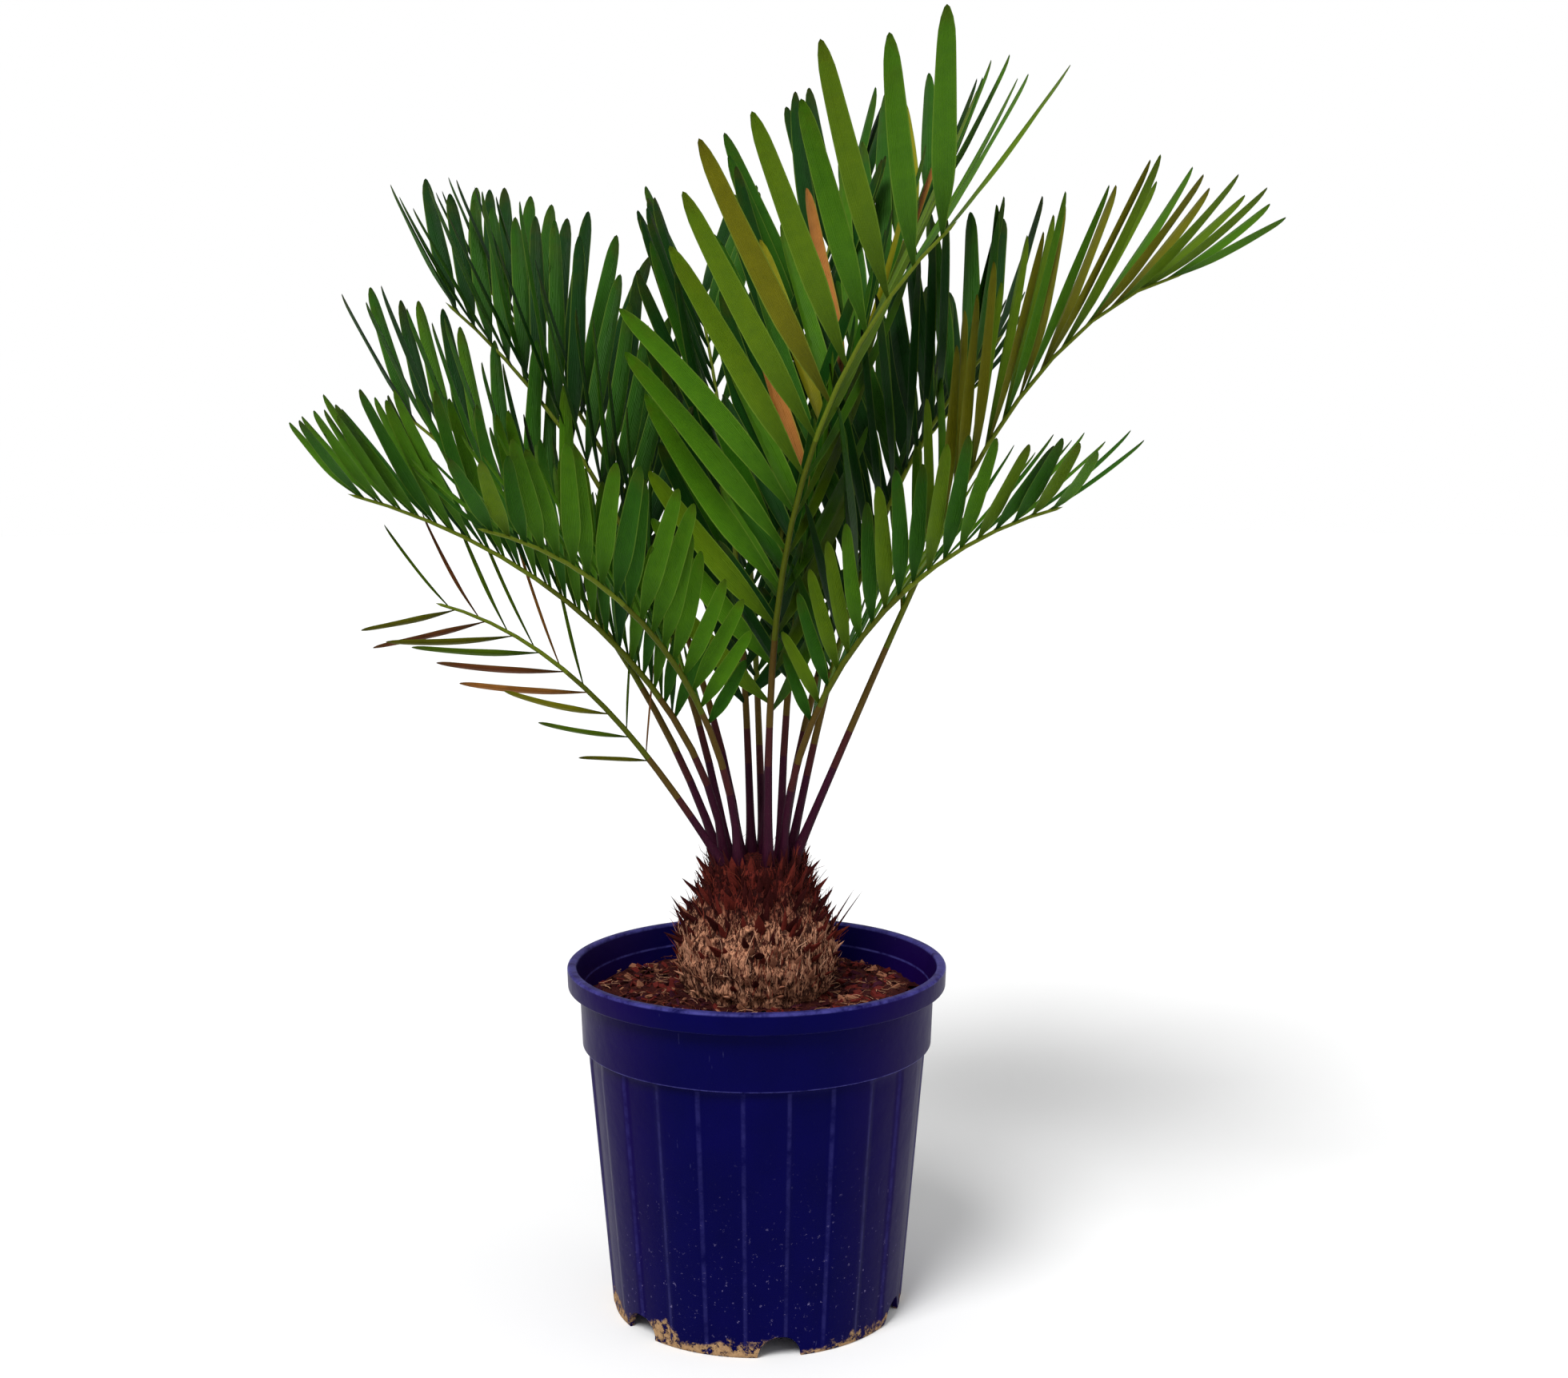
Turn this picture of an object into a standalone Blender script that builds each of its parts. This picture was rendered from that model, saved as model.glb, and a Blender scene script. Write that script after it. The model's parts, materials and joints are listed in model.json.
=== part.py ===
"""Coontie palm in a nursery pot: a squat fibrous caudex with fifteen feathered fronds.

Metres, +Z up. The origin is the centre of the pot's flat underside, +X is to the right of someone
who looks along +Y.
"""
import math
import random
from typing import NamedTuple

import bmesh
import bpy
import numpy as np
from mathutils import Matrix, Vector
from mathutils.bvhtree import BVHTree

# Driving dimensions, in metres
POT_RIM_RADIUS = 0.130
POT_HEIGHT = 0.242
POT_FOOT_RADIUS = 0.1005
POT_WALL = 0.0025
SOIL_LEVEL = 0.220
CAUDEX_TOP = 0.315
CAUDEX_WIDEST_RADIUS = 0.0555
GAP = 0.0003

# Clearances between leaflets, and how long and thick a leaflet may be
LEAFLET_CLEARANCE = 0.0006
LEAFLET_SLENDERNESS = 85
LEAFLET_WIDTH = 0.017

# Seeds of the random draws
SOIL_SEED = 4
STUB_SEED = 7
FROND_SEED = 20

RIB_STEPS = 14
FULL_TURN = 2 * math.pi


class Frond(NamedTuple):
    """One frond, as measured: lengths in metres, angles in degrees, shares of the rib's length."""
    at: tuple            # where its stalk stands on the crown, x and y
    heading: float       # compass direction it leans in, 0 along +X and 90 along +Y
    sweep: float         # how far that direction turns on the way to the tip
    rise: float          # slope of the stalk at its foot, 90 is upright
    droop: float         # slope of the rib at its tip
    ease: float          # 1 bends evenly, more keeps the bend for the tip
    length: float        # stalk and rib together
    bare: float          # share of that length with no leaflets
    pairs: int           # leaflets on each side
    leaf: float          # length of the longest leaflet
    spread: float        # angle from the rib of the lowest leaflets
    close: float         # angle from the rib of the last leaflets
    lift: float          # how far both rows fold up, out of the frond's plane
    roll: float          # how far the whole frond is turned about its rib
    last: float          # length of the last leaflets, as a share of the longest
    twist: float         # how far each blade is turned about its own middle line
    slender: float       # width of the leaflets, 1 is fresh and full


FRONDS = (
    Frond((0.008, -0.022), -80, 45, 90, 34, 1.2, 0.470, 0.22, 14, 0.165, 52, 46, 38, 0, 0.85, 10, 1.05),
    Frond((0.016, 0.004), 35, 0, 88, 50, 1.4, 0.484, 0.25, 15, 0.140, 46, 28, 35, 0, 0.75, 20, 0.95),
    Frond((0.026, -0.003), -12, 10, 67, 5, 4.0, 0.482, 0.38, 14, 0.135, 34, 20, 50, 0, 0.55, 20, 0.90),
    Frond((0.018, -0.011), -35, 0, 86, 12, 0.9, 0.345, 0.28, 14, 0.095, 50, 32, 38, 0, 0.70, 22, 0.90),
    Frond((0.023, 0.009), 12, 0, 78, 42, 2.0, 0.390, 0.32, 13, 0.150, 50, 40, 55, 0, 0.60, 20, 1.00),
    Frond((-0.022, -0.006), 197, 0, 82, 14, 0.75, 0.372, 0.28, 16, 0.115, 54, 36, 55, 0, 0.55, 28, 0.95),
    Frond((-0.012, -0.018), 225, 0, 84, 10, 0.9, 0.340, 0.30, 14, 0.095, 54, 38, 50, 0, 0.60, 25, 1.00),
    Frond((-0.024, -0.014), 190, 0, 57, 12, 2.0, 0.265, 0.32, 9, 0.095, 50, 36, 15, 70, 0.60, 60, 0.60),
    Frond((-0.026, 0.003), 165, 0, 70, 35, 0.9, 0.385, 0.36, 12, 0.130, 52, 32, 55, 0, 0.70, 25, 0.90),
    Frond((-0.020, 0.011), 155, 0, 78, 34, 1.2, 0.450, 0.34, 14, 0.135, 50, 32, 55, 0, 0.70, 25, 0.95),
    Frond((-0.012, 0.016), 143, 0, 80, 38, 0.8, 0.490, 0.34, 14, 0.130, 48, 32, 55, 0, 0.50, 22, 0.95),
    Frond((-0.004, 0.024), 107, 0, 84, 48, 1.4, 0.420, 0.24, 14, 0.140, 50, 32, 45, 0, 0.60, 20, 1.00),
    Frond((0.006, 0.018), 68, 0, 86, 50, 1.4, 0.480, 0.26, 14, 0.140, 46, 30, 48, 0, 0.70, 20, 0.95),
    Frond((0.017, 0.019), 48, 0, 76, 22, 1.3, 0.420, 0.28, 14, 0.125, 50, 32, 50, 0, 0.60, 22, 0.95),
    Frond((0.004, 0.028), 95, 0, 66, 8, 1.8, 0.370, 0.30, 14, 0.115, 50, 32, 50, 0, 0.60, 22, 0.95),
)


def clear_scene():
    for old in list(bpy.data.objects):
        bpy.data.objects.remove(old, do_unlink=True)


def new_collection(name):
    collection = bpy.data.collections.new(name)
    bpy.context.scene.collection.children.link(collection)
    return collection


def material(name, colour, roughness, metallic=0.0):
    """A plain Principled material of one colour."""
    made = bpy.data.materials.new(name)
    made.use_nodes = True
    shader = made.node_tree.nodes["Principled BSDF"]
    shader.inputs["Base Color"].default_value = (*colour, 1.0)
    shader.inputs["Roughness"].default_value = roughness
    shader.inputs["Metallic"].default_value = metallic
    return made


def add_mesh(name, collection, vertices, faces=(), edges=(), finish=None):
    mesh = bpy.data.meshes.new(name)
    mesh.from_pydata([tuple(v) for v in vertices], edges, faces)
    if finish:
        mesh.materials.append(finish)
    made = bpy.data.objects.new(name, mesh)
    collection.objects.link(made)
    return made


def turned(name, collection, profile, steps, finish):
    """A solid of revolution about Z, from (radius, height) points that start and end on the axis."""
    points = [(radius, 0.0, height) for radius, height in profile]
    edges = [(i, i + 1) for i in range(len(points) - 1)]
    made = add_mesh(name, collection, points, edges=edges, finish=finish)
    screw = made.modifiers.new("Turn", "SCREW")
    screw.axis = "Z"
    screw.angle = FULL_TURN
    screw.steps = steps
    screw.render_steps = steps
    screw.use_merge_vertices = True
    screw.merge_threshold = 1e-5
    return made


def apply_modifiers(made):
    """Keep the evaluated mesh, and drop the modifiers that made it."""
    depsgraph = bpy.context.evaluated_depsgraph_get()
    depsgraph.update()
    mesh = bpy.data.meshes.new_from_object(made.evaluated_get(depsgraph))
    made.modifiers.clear()
    made.data = mesh
    return made


def smooth(made, angle=40):
    made.data.shade_smooth()
    made.data.set_sharp_from_angle(angle=math.radians(angle))


def around(turn, radius, height):
    return Vector((radius * math.cos(turn), radius * math.sin(turn), height))


# Pot: a moulded plastic nursery pot with a rolled rim, a plain collar and a fluted wall. Its floor
# stands on a flat middle disc and on the wall's foot, which is notched for drainage.
POT_STEPS = 48
COLLAR_BOTTOM = 0.187
COLLAR_TOP = 0.2275
WALL_TOP_RADIUS = 0.1165
COLLAR_RADIUS = 0.1200
COLLAR_FLARE = 0.0015
RIM_INNER_RADIUS = 0.1235
FLOOR_RAISED = 0.016
FLOOR_DISC_RADIUS = 0.060
FLOOR_SLOPE_WIDTH = 0.006
RIM_ROUND = 0.002
WALL_BEND_HEIGHT = 0.024
FOOT_CHAMFER = 0.004
FLUTE_DEPTH = 0.0014
FLUTE_PERIOD = 4
NOTCHES = 6
NOTCH_START = math.radians(-81)
NOTCH_HALF_WIDTH = 0.0145
NOTCH_HEIGHT = 0.0150


def wall_radius(height):
    """Outer radius of the fluted wall at a height."""
    share = height / COLLAR_BOTTOM
    return POT_FOOT_RADIUS + (WALL_TOP_RADIUS - POT_FOOT_RADIUS) * share


def make_pot(parts, cutters):
    inner_top = WALL_TOP_RADIUS - POT_WALL
    foot_inner = POT_FOOT_RADIUS - 1.6 * POT_WALL
    floor_edge = wall_radius(FLOOR_RAISED) - POT_WALL
    profile = [
        (0.0, POT_WALL),
        (FLOOR_DISC_RADIUS - POT_WALL, POT_WALL),
        (FLOOR_DISC_RADIUS + FLOOR_SLOPE_WIDTH - POT_WALL, FLOOR_RAISED + POT_WALL),
        (floor_edge, FLOOR_RAISED + POT_WALL),
        (inner_top, COLLAR_BOTTOM - RIM_ROUND),
        (COLLAR_RADIUS - POT_WALL, COLLAR_BOTTOM + 2 * RIM_ROUND),
        (COLLAR_RADIUS + COLLAR_FLARE - POT_WALL, COLLAR_TOP),
        (RIM_INNER_RADIUS, POT_HEIGHT - RIM_ROUND),
        (RIM_INNER_RADIUS + RIM_ROUND, POT_HEIGHT),
        (POT_RIM_RADIUS - RIM_ROUND, POT_HEIGHT),
        (POT_RIM_RADIUS, POT_HEIGHT - RIM_ROUND),
        (POT_RIM_RADIUS - 0.0005, COLLAR_TOP),
        (COLLAR_RADIUS + COLLAR_FLARE, COLLAR_TOP),
        (COLLAR_RADIUS, COLLAR_BOTTOM),
        (WALL_TOP_RADIUS, COLLAR_BOTTOM - 0.001),
        (wall_radius(WALL_BEND_HEIGHT), WALL_BEND_HEIGHT),
        (wall_radius(FOOT_CHAMFER), FOOT_CHAMFER),
        (POT_FOOT_RADIUS - 0.001, 0.0),
        (foot_inner, 0.0),
        (foot_inner - 0.001, FLOOR_RAISED),
        (FLOOR_DISC_RADIUS + FLOOR_SLOPE_WIDTH, FLOOR_RAISED),
        (FLOOR_DISC_RADIUS, 0.0),
        (0.0, 0.0),
    ]
    plastic = material("navy plastic", (0.012, 0.008, 0.075), 0.32)
    pot = apply_modifiers(turned("pot", parts, profile[::-1], POT_STEPS, plastic))
    press_flutes(pot)
    for index in range(NOTCHES):
        turn = NOTCH_START + index * FULL_TURN / NOTCHES
        bpy.ops.mesh.primitive_cylinder_add(vertices=14, radius=1.0, depth=0.020)
        cutter = bpy.context.object
        cutter.name = f"notch_cutter_{index + 1}"
        cutter.scale = (NOTCH_HEIGHT, NOTCH_HALF_WIDTH, 1.0)
        cutter.rotation_euler = (0.0, math.radians(90), turn)
        cutter.location = around(turn, POT_FOOT_RADIUS - 0.002, 0.0)
        cutter.hide_render = True
        cutter.display_type = "WIRE"
        for holder in list(cutter.users_collection):
            holder.objects.unlink(cutter)
        cutters.objects.link(cutter)
    cut = pot.modifiers.new("Notches", "BOOLEAN")
    cut.operation = "DIFFERENCE"
    cut.operand_type = "COLLECTION"
    cut.collection = cutters
    apply_modifiers(pot)
    smooth(pot, 30)
    return pot


def press_flutes(pot):
    """Press every second pair of wall facets in between the collar and the foot."""
    for vertex in pot.data.vertices:
        x, y, z = vertex.co
        radius = math.hypot(x, y)
        on_wall = FOOT_CHAMFER - 0.001 < z < COLLAR_BOTTOM and radius > wall_radius(z) - 0.0005
        facet = round(math.atan2(y, x) / FULL_TURN * POT_STEPS) % FLUTE_PERIOD
        if on_wall and facet in (2, 3):
            scale = (radius - FLUTE_DEPTH) / radius
            vertex.co.x = x * scale
            vertex.co.y = y * scale


# Potting mix: fills the pot from its stepped floor to a finger's width under the rim. Its top is
# lumpy, but for the flat bed under the caudex.
SOIL_STEPS = 36
SOIL_BED_RADIUS = 0.052
SOIL_LUMP = 0.0035
# A faceted wall's chords run inside its circle, so the fill stays further in than the gap
SOIL_FIT = GAP + 0.0008


def make_potting_mix(parts):
    inner_top = WALL_TOP_RADIUS - POT_WALL
    floor_edge = wall_radius(FLOOR_RAISED) - POT_WALL
    collar_inner = COLLAR_RADIUS - POT_WALL
    soil_edge = collar_inner + 0.0010
    floor_top = POT_WALL + GAP
    slope_top = FLOOR_DISC_RADIUS + FLOOR_SLOPE_WIDTH - POT_WALL
    profile = [
        (0.0, SOIL_LEVEL),
        (SOIL_BED_RADIUS, SOIL_LEVEL),
        (SOIL_BED_RADIUS + 0.014, SOIL_LEVEL + 0.001),
        (SOIL_BED_RADIUS + 0.030, SOIL_LEVEL - 0.001),
        (SOIL_BED_RADIUS + 0.048, SOIL_LEVEL - 0.002),
        (soil_edge - SOIL_FIT, SOIL_LEVEL - 0.006),
        (collar_inner - SOIL_FIT, COLLAR_BOTTOM + 2 * RIM_ROUND + SOIL_FIT),
        (inner_top - SOIL_FIT, COLLAR_BOTTOM - RIM_ROUND),
        (floor_edge - SOIL_FIT, FLOOR_RAISED + floor_top),
        (slope_top - SOIL_FIT, FLOOR_RAISED + floor_top),
        (FLOOR_DISC_RADIUS - POT_WALL - SOIL_FIT, floor_top),
        (0.0, floor_top),
    ]
    peat = material("peat and bark mix", (0.045, 0.014, 0.012), 0.95)
    soil = apply_modifiers(turned("potting_mix", parts, profile, SOIL_STEPS, peat))
    draw = random.Random(SOIL_SEED)
    for vertex in soil.data.vertices:
        radius = math.hypot(vertex.co.x, vertex.co.y)
        if vertex.co.z > SOIL_LEVEL - 0.004 and radius > SOIL_BED_RADIUS + 0.002:
            vertex.co.z += draw.uniform(-SOIL_LUMP, SOIL_LUMP)
    smooth(soil, 50)
    return soil


# Caudex: the swollen woody stem, cut flat where it meets the mix. Old leaf bases stand out of it
# as rows of pointed stubs, which get longer towards the crown.
CAUDEX_STEPS = 24
CAUDEX_OUTLINE = (
    (0.047, SOIL_LEVEL + GAP),
    (0.053, 0.232),
    (CAUDEX_WIDEST_RADIUS, 0.246),
    (0.053, 0.260),
    (0.047, 0.273),
    (0.040, 0.287),
    (0.0345, 0.301),
    (0.0315, CAUDEX_TOP - 0.002),
    (0.0295, CAUDEX_TOP),
)
STUB_ROWS = (
    # height, stubs, length, lean from upright in degrees
    (0.258, 9, 0.012, 62),
    (0.273, 10, 0.014, 50),
    (0.287, 10, 0.014, 42),
    (0.300, 11, 0.013, 34),
    (0.309, 12, 0.011, 24),
)
# Single long stubs: compass direction, height, length, lean, width
LONE_STUBS = (
    (-12, 0.262, 0.034, 28, 0.0030),
    (-4, 0.258, 0.036, 32, 0.0028),
    (-20, 0.276, 0.022, 30, 0.0060),
    (185, 0.268, 0.020, 30, 0.0060),
    (200, 0.262, 0.024, 26, 0.0050),
)
BUD_SCALES = 5
BUD_HEIGHT = 0.016
BUD_RADIUS = 0.0045
STUB_WIDTH = 0.0085
STUB_SEAT = 0.004
BUD_WIDTH = 0.006


def caudex_radius(height):
    radii = [point[0] for point in CAUDEX_OUTLINE]
    heights = [point[1] for point in CAUDEX_OUTLINE]
    return float(np.interp(height, heights, radii))


def leaning(turn, tilt):
    """The unit direction that leans out from upright by the tilt, towards the turn."""
    return around(turn, math.sin(tilt), math.cos(tilt))


def add_stub(group, foot, tip, width, ribs):
    """A three-sided pointed stub from a foot sunk in the stem to its tip, left out where a stalk is."""
    axis = tip - foot
    turn = axis.to_track_quat("Z", "Y").to_matrix().to_4x4()
    mesh = bpy.data.meshes.new("stub")
    sculpt = bmesh.new()
    bmesh.ops.create_cone(sculpt, cap_ends=True, segments=3, radius1=width / 2, radius2=0.0,
                          depth=axis.length)
    bmesh.ops.transform(sculpt, matrix=Matrix.Translation((foot + tip) / 2) @ turn, verts=sculpt.verts)
    taken = BVHTree.FromBMesh(sculpt, epsilon=LEAFLET_CLEARANCE).overlap(ribs)
    sculpt.to_mesh(mesh)
    sculpt.free()
    if not taken:
        group.objects.link(bpy.data.objects.new("stub", mesh))


def make_caudex(parts, ribs):
    bark = material("fibrous caudex", (0.19, 0.075, 0.045), 0.9)
    bottom = CAUDEX_OUTLINE[0][1]
    profile = [(0.0, CAUDEX_TOP), *reversed(CAUDEX_OUTLINE), (0.0, bottom)]
    caudex = apply_modifiers(turned("caudex", parts, profile, CAUDEX_STEPS, bark))
    stubs = new_collection("stubs")
    draw = random.Random(STUB_SEED)
    for row, (height, count, length, lean) in enumerate(STUB_ROWS):
        for index in range(count):
            turn = (index + 0.5 * (row % 2) + draw.uniform(-0.2, 0.2)) / count * FULL_TURN
            out = leaning(turn, math.radians(lean + draw.uniform(-8, 8)))
            seat = around(turn, caudex_radius(height) - STUB_SEAT, height)
            reach = length * draw.uniform(0.8, 1.3)
            add_stub(stubs, seat, seat + out * (STUB_SEAT + reach), STUB_WIDTH, ribs)
    for compass, height, length, lean, width in LONE_STUBS:
        turn = math.radians(compass)
        seat = around(turn, caudex_radius(height) - STUB_SEAT, height)
        tip = seat + leaning(turn, math.radians(lean)) * (STUB_SEAT + length)
        add_stub(stubs, seat, tip, width, ribs)
    for index in range(BUD_SCALES):
        turn = index / BUD_SCALES * FULL_TURN
        seat = around(turn, BUD_RADIUS, CAUDEX_TOP - STUB_SEAT)
        tip = around(turn, BUD_RADIUS * 0.6, CAUDEX_TOP + BUD_HEIGHT * (1 + 0.15 * (index % 2)))
        add_stub(stubs, seat, tip, BUD_WIDTH, ribs)
    union(caudex, stubs)
    smooth(caudex, 50)
    return caudex


def union(base, group):
    """Fuse every object of a collection with the base, and remove the collection's objects."""
    join = base.modifiers.new("Fuse", "BOOLEAN")
    join.operation = "UNION"
    join.operand_type = "COLLECTION"
    join.collection = group
    apply_modifiers(base)
    for used in list(group.objects):
        bpy.data.objects.remove(used, do_unlink=True)
    bpy.data.collections.remove(group)


# Frond: a stalk that runs on as the rib, with two rows of flat leaflets folded up like a V. A
# leaflet's stations are shares of its length, each with its width as a share of the full one. The
# tries are small turns and folds that move a leaflet off its neighbour.
STALK_RADIUS = 0.0032
RIB_TIP_RADIUS = 0.0010
LEAFLET_STATIONS = ((0.0, 0.10), (0.36, 1.0), (0.84, 0.78))
LEAFLET_CURL = 0.09
LEAFY_END = 0.985
ROOT_SHARE = 0.12
RIB_CLEARANCE = 1.2
STALK_SINK = 0.006
TRIES = ((0, 0), (6, 0), (-6, 0), (0, 9), (0, -9), (10, 8), (-10, -8), (12, -12), (-12, 12))


class Station(NamedTuple):
    """A place on the rib: its point, the way it runs, the frond's right-hand side and upper face."""
    point: Vector
    along: Vector
    side: Vector
    face: Vector


def rib_stations(frond):
    """The rib from its foot on the crown to its tip, as evenly spaced stations."""
    point = Vector((*frond.at, CAUDEX_TOP + GAP))
    stations = []
    for index in range(RIB_STEPS + 1):
        share = index / RIB_STEPS
        heading = math.radians(frond.heading + frond.sweep * share)
        slope = math.radians(frond.rise + (frond.droop - frond.rise) * share ** frond.ease)
        flat = Vector((math.cos(heading), math.sin(heading), 0.0))
        along = flat * math.cos(slope) + Vector((0.0, 0.0, math.sin(slope)))
        side = Vector((math.sin(heading), -math.cos(heading), 0.0))
        turn = Matrix.Rotation(math.radians(frond.roll), 3, along)
        side = turn.inverted() @ side
        stations.append(Station(point.copy(), along, side, side.cross(along)))
        point = point + along * frond.length / RIB_STEPS
    return stations


def station_at(stations, share):
    place = share * RIB_STEPS
    low = min(int(place), RIB_STEPS - 1)
    mix = place - low
    return Station(*(a.lerp(b, mix) for a, b in zip(stations[low], stations[low + 1])))


def rib_radius(share):
    return STALK_RADIUS + (RIB_TIP_RADIUS - STALK_RADIUS) * share ** 0.7


def leaflet_length(frond, share):
    """Leaflets are shorter at both ends of the leafy part than in its middle."""
    if share < 0.5:
        return frond.leaf * (0.55 + 0.45 * math.sin(math.pi * share))
    return frond.leaf * (frond.last + (1 - frond.last) * math.sin(math.pi * share))


class Leaflet(NamedTuple):
    """One blade: its root, the way it points, the way its width runs, its upper face and its size."""
    root: Vector
    out: Vector
    across: Vector
    face: Vector
    length: float
    width: float

    def middle(self, share):
        """A point of the middle line, which curls up towards the light."""
        rise = LEAFLET_CURL * self.length * share ** 2
        return self.root + self.out * self.length * share + Vector((0.0, 0.0, rise))


def place_leaflet(frond, stations, row, side, jitter, turn, fold):
    """The leaflet of one row, turned by some degrees from its place where that is taken."""
    share = (row + 0.25 * (side > 0)) / (frond.pairs - 0.5)
    here = station_at(stations, frond.bare + (LEAFY_END - frond.bare) * share)
    spread = math.radians(frond.spread + (frond.close - frond.spread) * share + jitter[0] + turn)
    lift = math.radians(frond.lift + jitter[1] + fold)
    sideways = here.side * (side * math.cos(lift)) + here.face * math.sin(lift)
    out = (here.along * math.cos(spread) + sideways * math.sin(spread)).normalized()
    across = (here.along - out * here.along.dot(out)).normalized()
    across = Matrix.Rotation(math.radians(frond.twist) * side, 3, out) @ across
    face = across.cross(out) * side
    length = leaflet_length(frond, share) * jitter[2]
    width = LEAFLET_WIDTH * frond.slender * min(1.0, length / 0.11) ** 0.5
    return Leaflet(here.point, out, across.normalized(), face.normalized(), length, width)


def leaflet_rings(leaflet, start=0.0):
    """Three-cornered sections, from the root or the share where they start, up to the tip's point."""
    keel = leaflet.length / LEAFLET_SLENDERNESS
    root_breadth = LEAFLET_STATIONS[0][1] + 2 * start
    rings = []
    for share, breadth in LEAFLET_STATIONS:
        middle = leaflet.middle(max(share, start))
        fullness = max(breadth, root_breadth)
        half = leaflet.across * (leaflet.width * fullness / 2)
        rings.append((middle + half, middle - half, middle - leaflet.face * keel * min(1.0, 5 * fullness)))
    return rings


def leaflet_shape(leaflet, start=0.0):
    """Vertices and faces of one closed blade."""
    rings = leaflet_rings(leaflet, start)
    points = [corner for ring in rings for corner in ring] + [leaflet.middle(1.0)]
    tip = len(points) - 1
    faces = [(0, 1, 2)]
    for ring in range(len(rings) - 1):
        for corner in range(3):
            a = ring * 3 + corner
            b = ring * 3 + (corner + 1) % 3
            faces.append((a, b, b + 3, a + 3))
    last = (len(rings) - 1) * 3
    for corner in range(3):
        faces.append((last + corner, last + (corner + 1) % 3, tip))
    return points, faces


def rib_shape(stations, swell=1.0):
    """A tapering rib of diamond section: its two upper faces look out along the leaflet rows."""
    points = []
    faces = [(3, 2, 1, 0)]
    foot_steps = len(stations) - 1 - RIB_STEPS
    for index, here in enumerate(stations):
        radius = rib_radius(max(0, index - foot_steps) / RIB_STEPS) * swell
        across = here.side.normalized() * radius
        upward = here.face.normalized() * radius
        points += [here.point + across, here.point + upward, here.point - across, here.point - upward]
    for ring in range(len(stations) - 1):
        for corner in range(4):
            a = ring * 4 + corner
            b = ring * 4 + (corner + 1) % 4
            faces.append((a, b, b + 4, a + 4))
    last = len(points) - 4
    faces.append((last, last + 1, last + 2, last + 3))
    return points, faces


def tree_of(shapes):
    """One search tree over several meshes, each a pair of points and faces."""
    points = []
    faces = []
    for shape_points, shape_faces in shapes:
        shift = len(points)
        points += shape_points
        faces += [tuple(corner + shift for corner in face) for face in shape_faces]
    return BVHTree.FromPolygons(points, faces, epsilon=LEAFLET_CLEARANCE)


def grow_leaflets(all_stations, ribs):
    """Every frond's leaflets, each placed where it is clear of all ribs and of all earlier leaflets."""
    grown = []
    earlier = []
    for index, frond in enumerate(FRONDS):
        draw = random.Random(FROND_SEED + index)
        others = tree_of(ribs[:index] + ribs[index + 1:] + earlier)
        blades = {-1: [], 1: []}
        kept = []
        for row in range(frond.pairs):
            for side in (-1, 1):
                jitter = (draw.uniform(-3, 3), draw.uniform(-5, 5), draw.uniform(0.93, 1.07))
                neighbours = blades[side][-2:] + blades[-side][-2:]
                for turn, fold in TRIES:
                    leaflet = place_leaflet(frond, all_stations[index], row, side, jitter, turn, fold)
                    blade = tree_of([leaflet_shape(leaflet, ROOT_SHARE)])
                    crowded = any(blade.overlap(neighbour) for neighbour in neighbours)
                    if not crowded and not tree_of([leaflet_shape(leaflet)]).overlap(others):
                        blades[side].append(blade)
                        kept.append(leaflet)
                        break
        earlier += [leaflet_shape(leaflet) for leaflet in kept]
        grown.append(kept)
    return grown


def make_rib(name, parts, stations, finish):
    """The stalk and rib in one piece, cut flat just over the crown."""
    foot = stations[0]._replace(point=stations[0].point - stations[0].along * STALK_SINK)
    points, faces = rib_shape([foot] + stations)
    rib = add_mesh(name, parts, points, faces, finish=finish)
    cut = bmesh.new()
    cut.from_mesh(rib.data)
    sliced = bmesh.ops.bisect_plane(
        cut, geom=cut.verts[:] + cut.edges[:] + cut.faces[:],
        plane_co=(0.0, 0.0, CAUDEX_TOP + GAP), plane_no=(0.0, 0.0, -1.0), clear_outer=True)
    rim = [piece for piece in sliced["geom_cut"] if isinstance(piece, bmesh.types.BMEdge)]
    bmesh.ops.edgeloop_fill(cut, edges=rim)
    bmesh.ops.recalc_face_normals(cut, faces=cut.faces)
    cut.to_mesh(rib.data)
    cut.free()
    return rib


def make_frond(name, parts, stations, leaflets, finish):
    rib = make_rib(name, parts, stations, finish)
    group = new_collection(f"{name}_leaflets")
    for leaflet in leaflets:
        points, faces = leaflet_shape(leaflet)
        blade = add_mesh("leaflet", group, points, faces)
        tidy = bmesh.new()
        tidy.from_mesh(blade.data)
        bmesh.ops.recalc_face_normals(tidy, faces=tidy.faces)
        tidy.to_mesh(blade.data)
        tidy.free()
    union(rib, group)
    return rib


def main():
    clear_scene()
    parts = new_collection("coontie_palm")
    cutters = new_collection("cutters")
    make_pot(parts, cutters)
    make_potting_mix(parts)
    all_stations = [rib_stations(frond) for frond in FRONDS]
    ribs = [rib_shape(stations, RIB_CLEARANCE) for stations in all_stations]
    make_caudex(parts, tree_of(ribs))
    green = material("frond green", (0.045, 0.125, 0.008), 0.5)
    grown = grow_leaflets(all_stations, ribs)
    for index, (stations, leaflets) in enumerate(zip(all_stations, grown)):
        make_frond(f"frond_{index + 1:02d}", parts, stations, leaflets, green)


main()
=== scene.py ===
"""The looks of a potted coontie palm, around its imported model."""
import json
import math
import random
from typing import NamedTuple

import bmesh
import bpy
from mathutils import Matrix, Vector, noise
from mathutils.bvhtree import BVHTree

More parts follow.
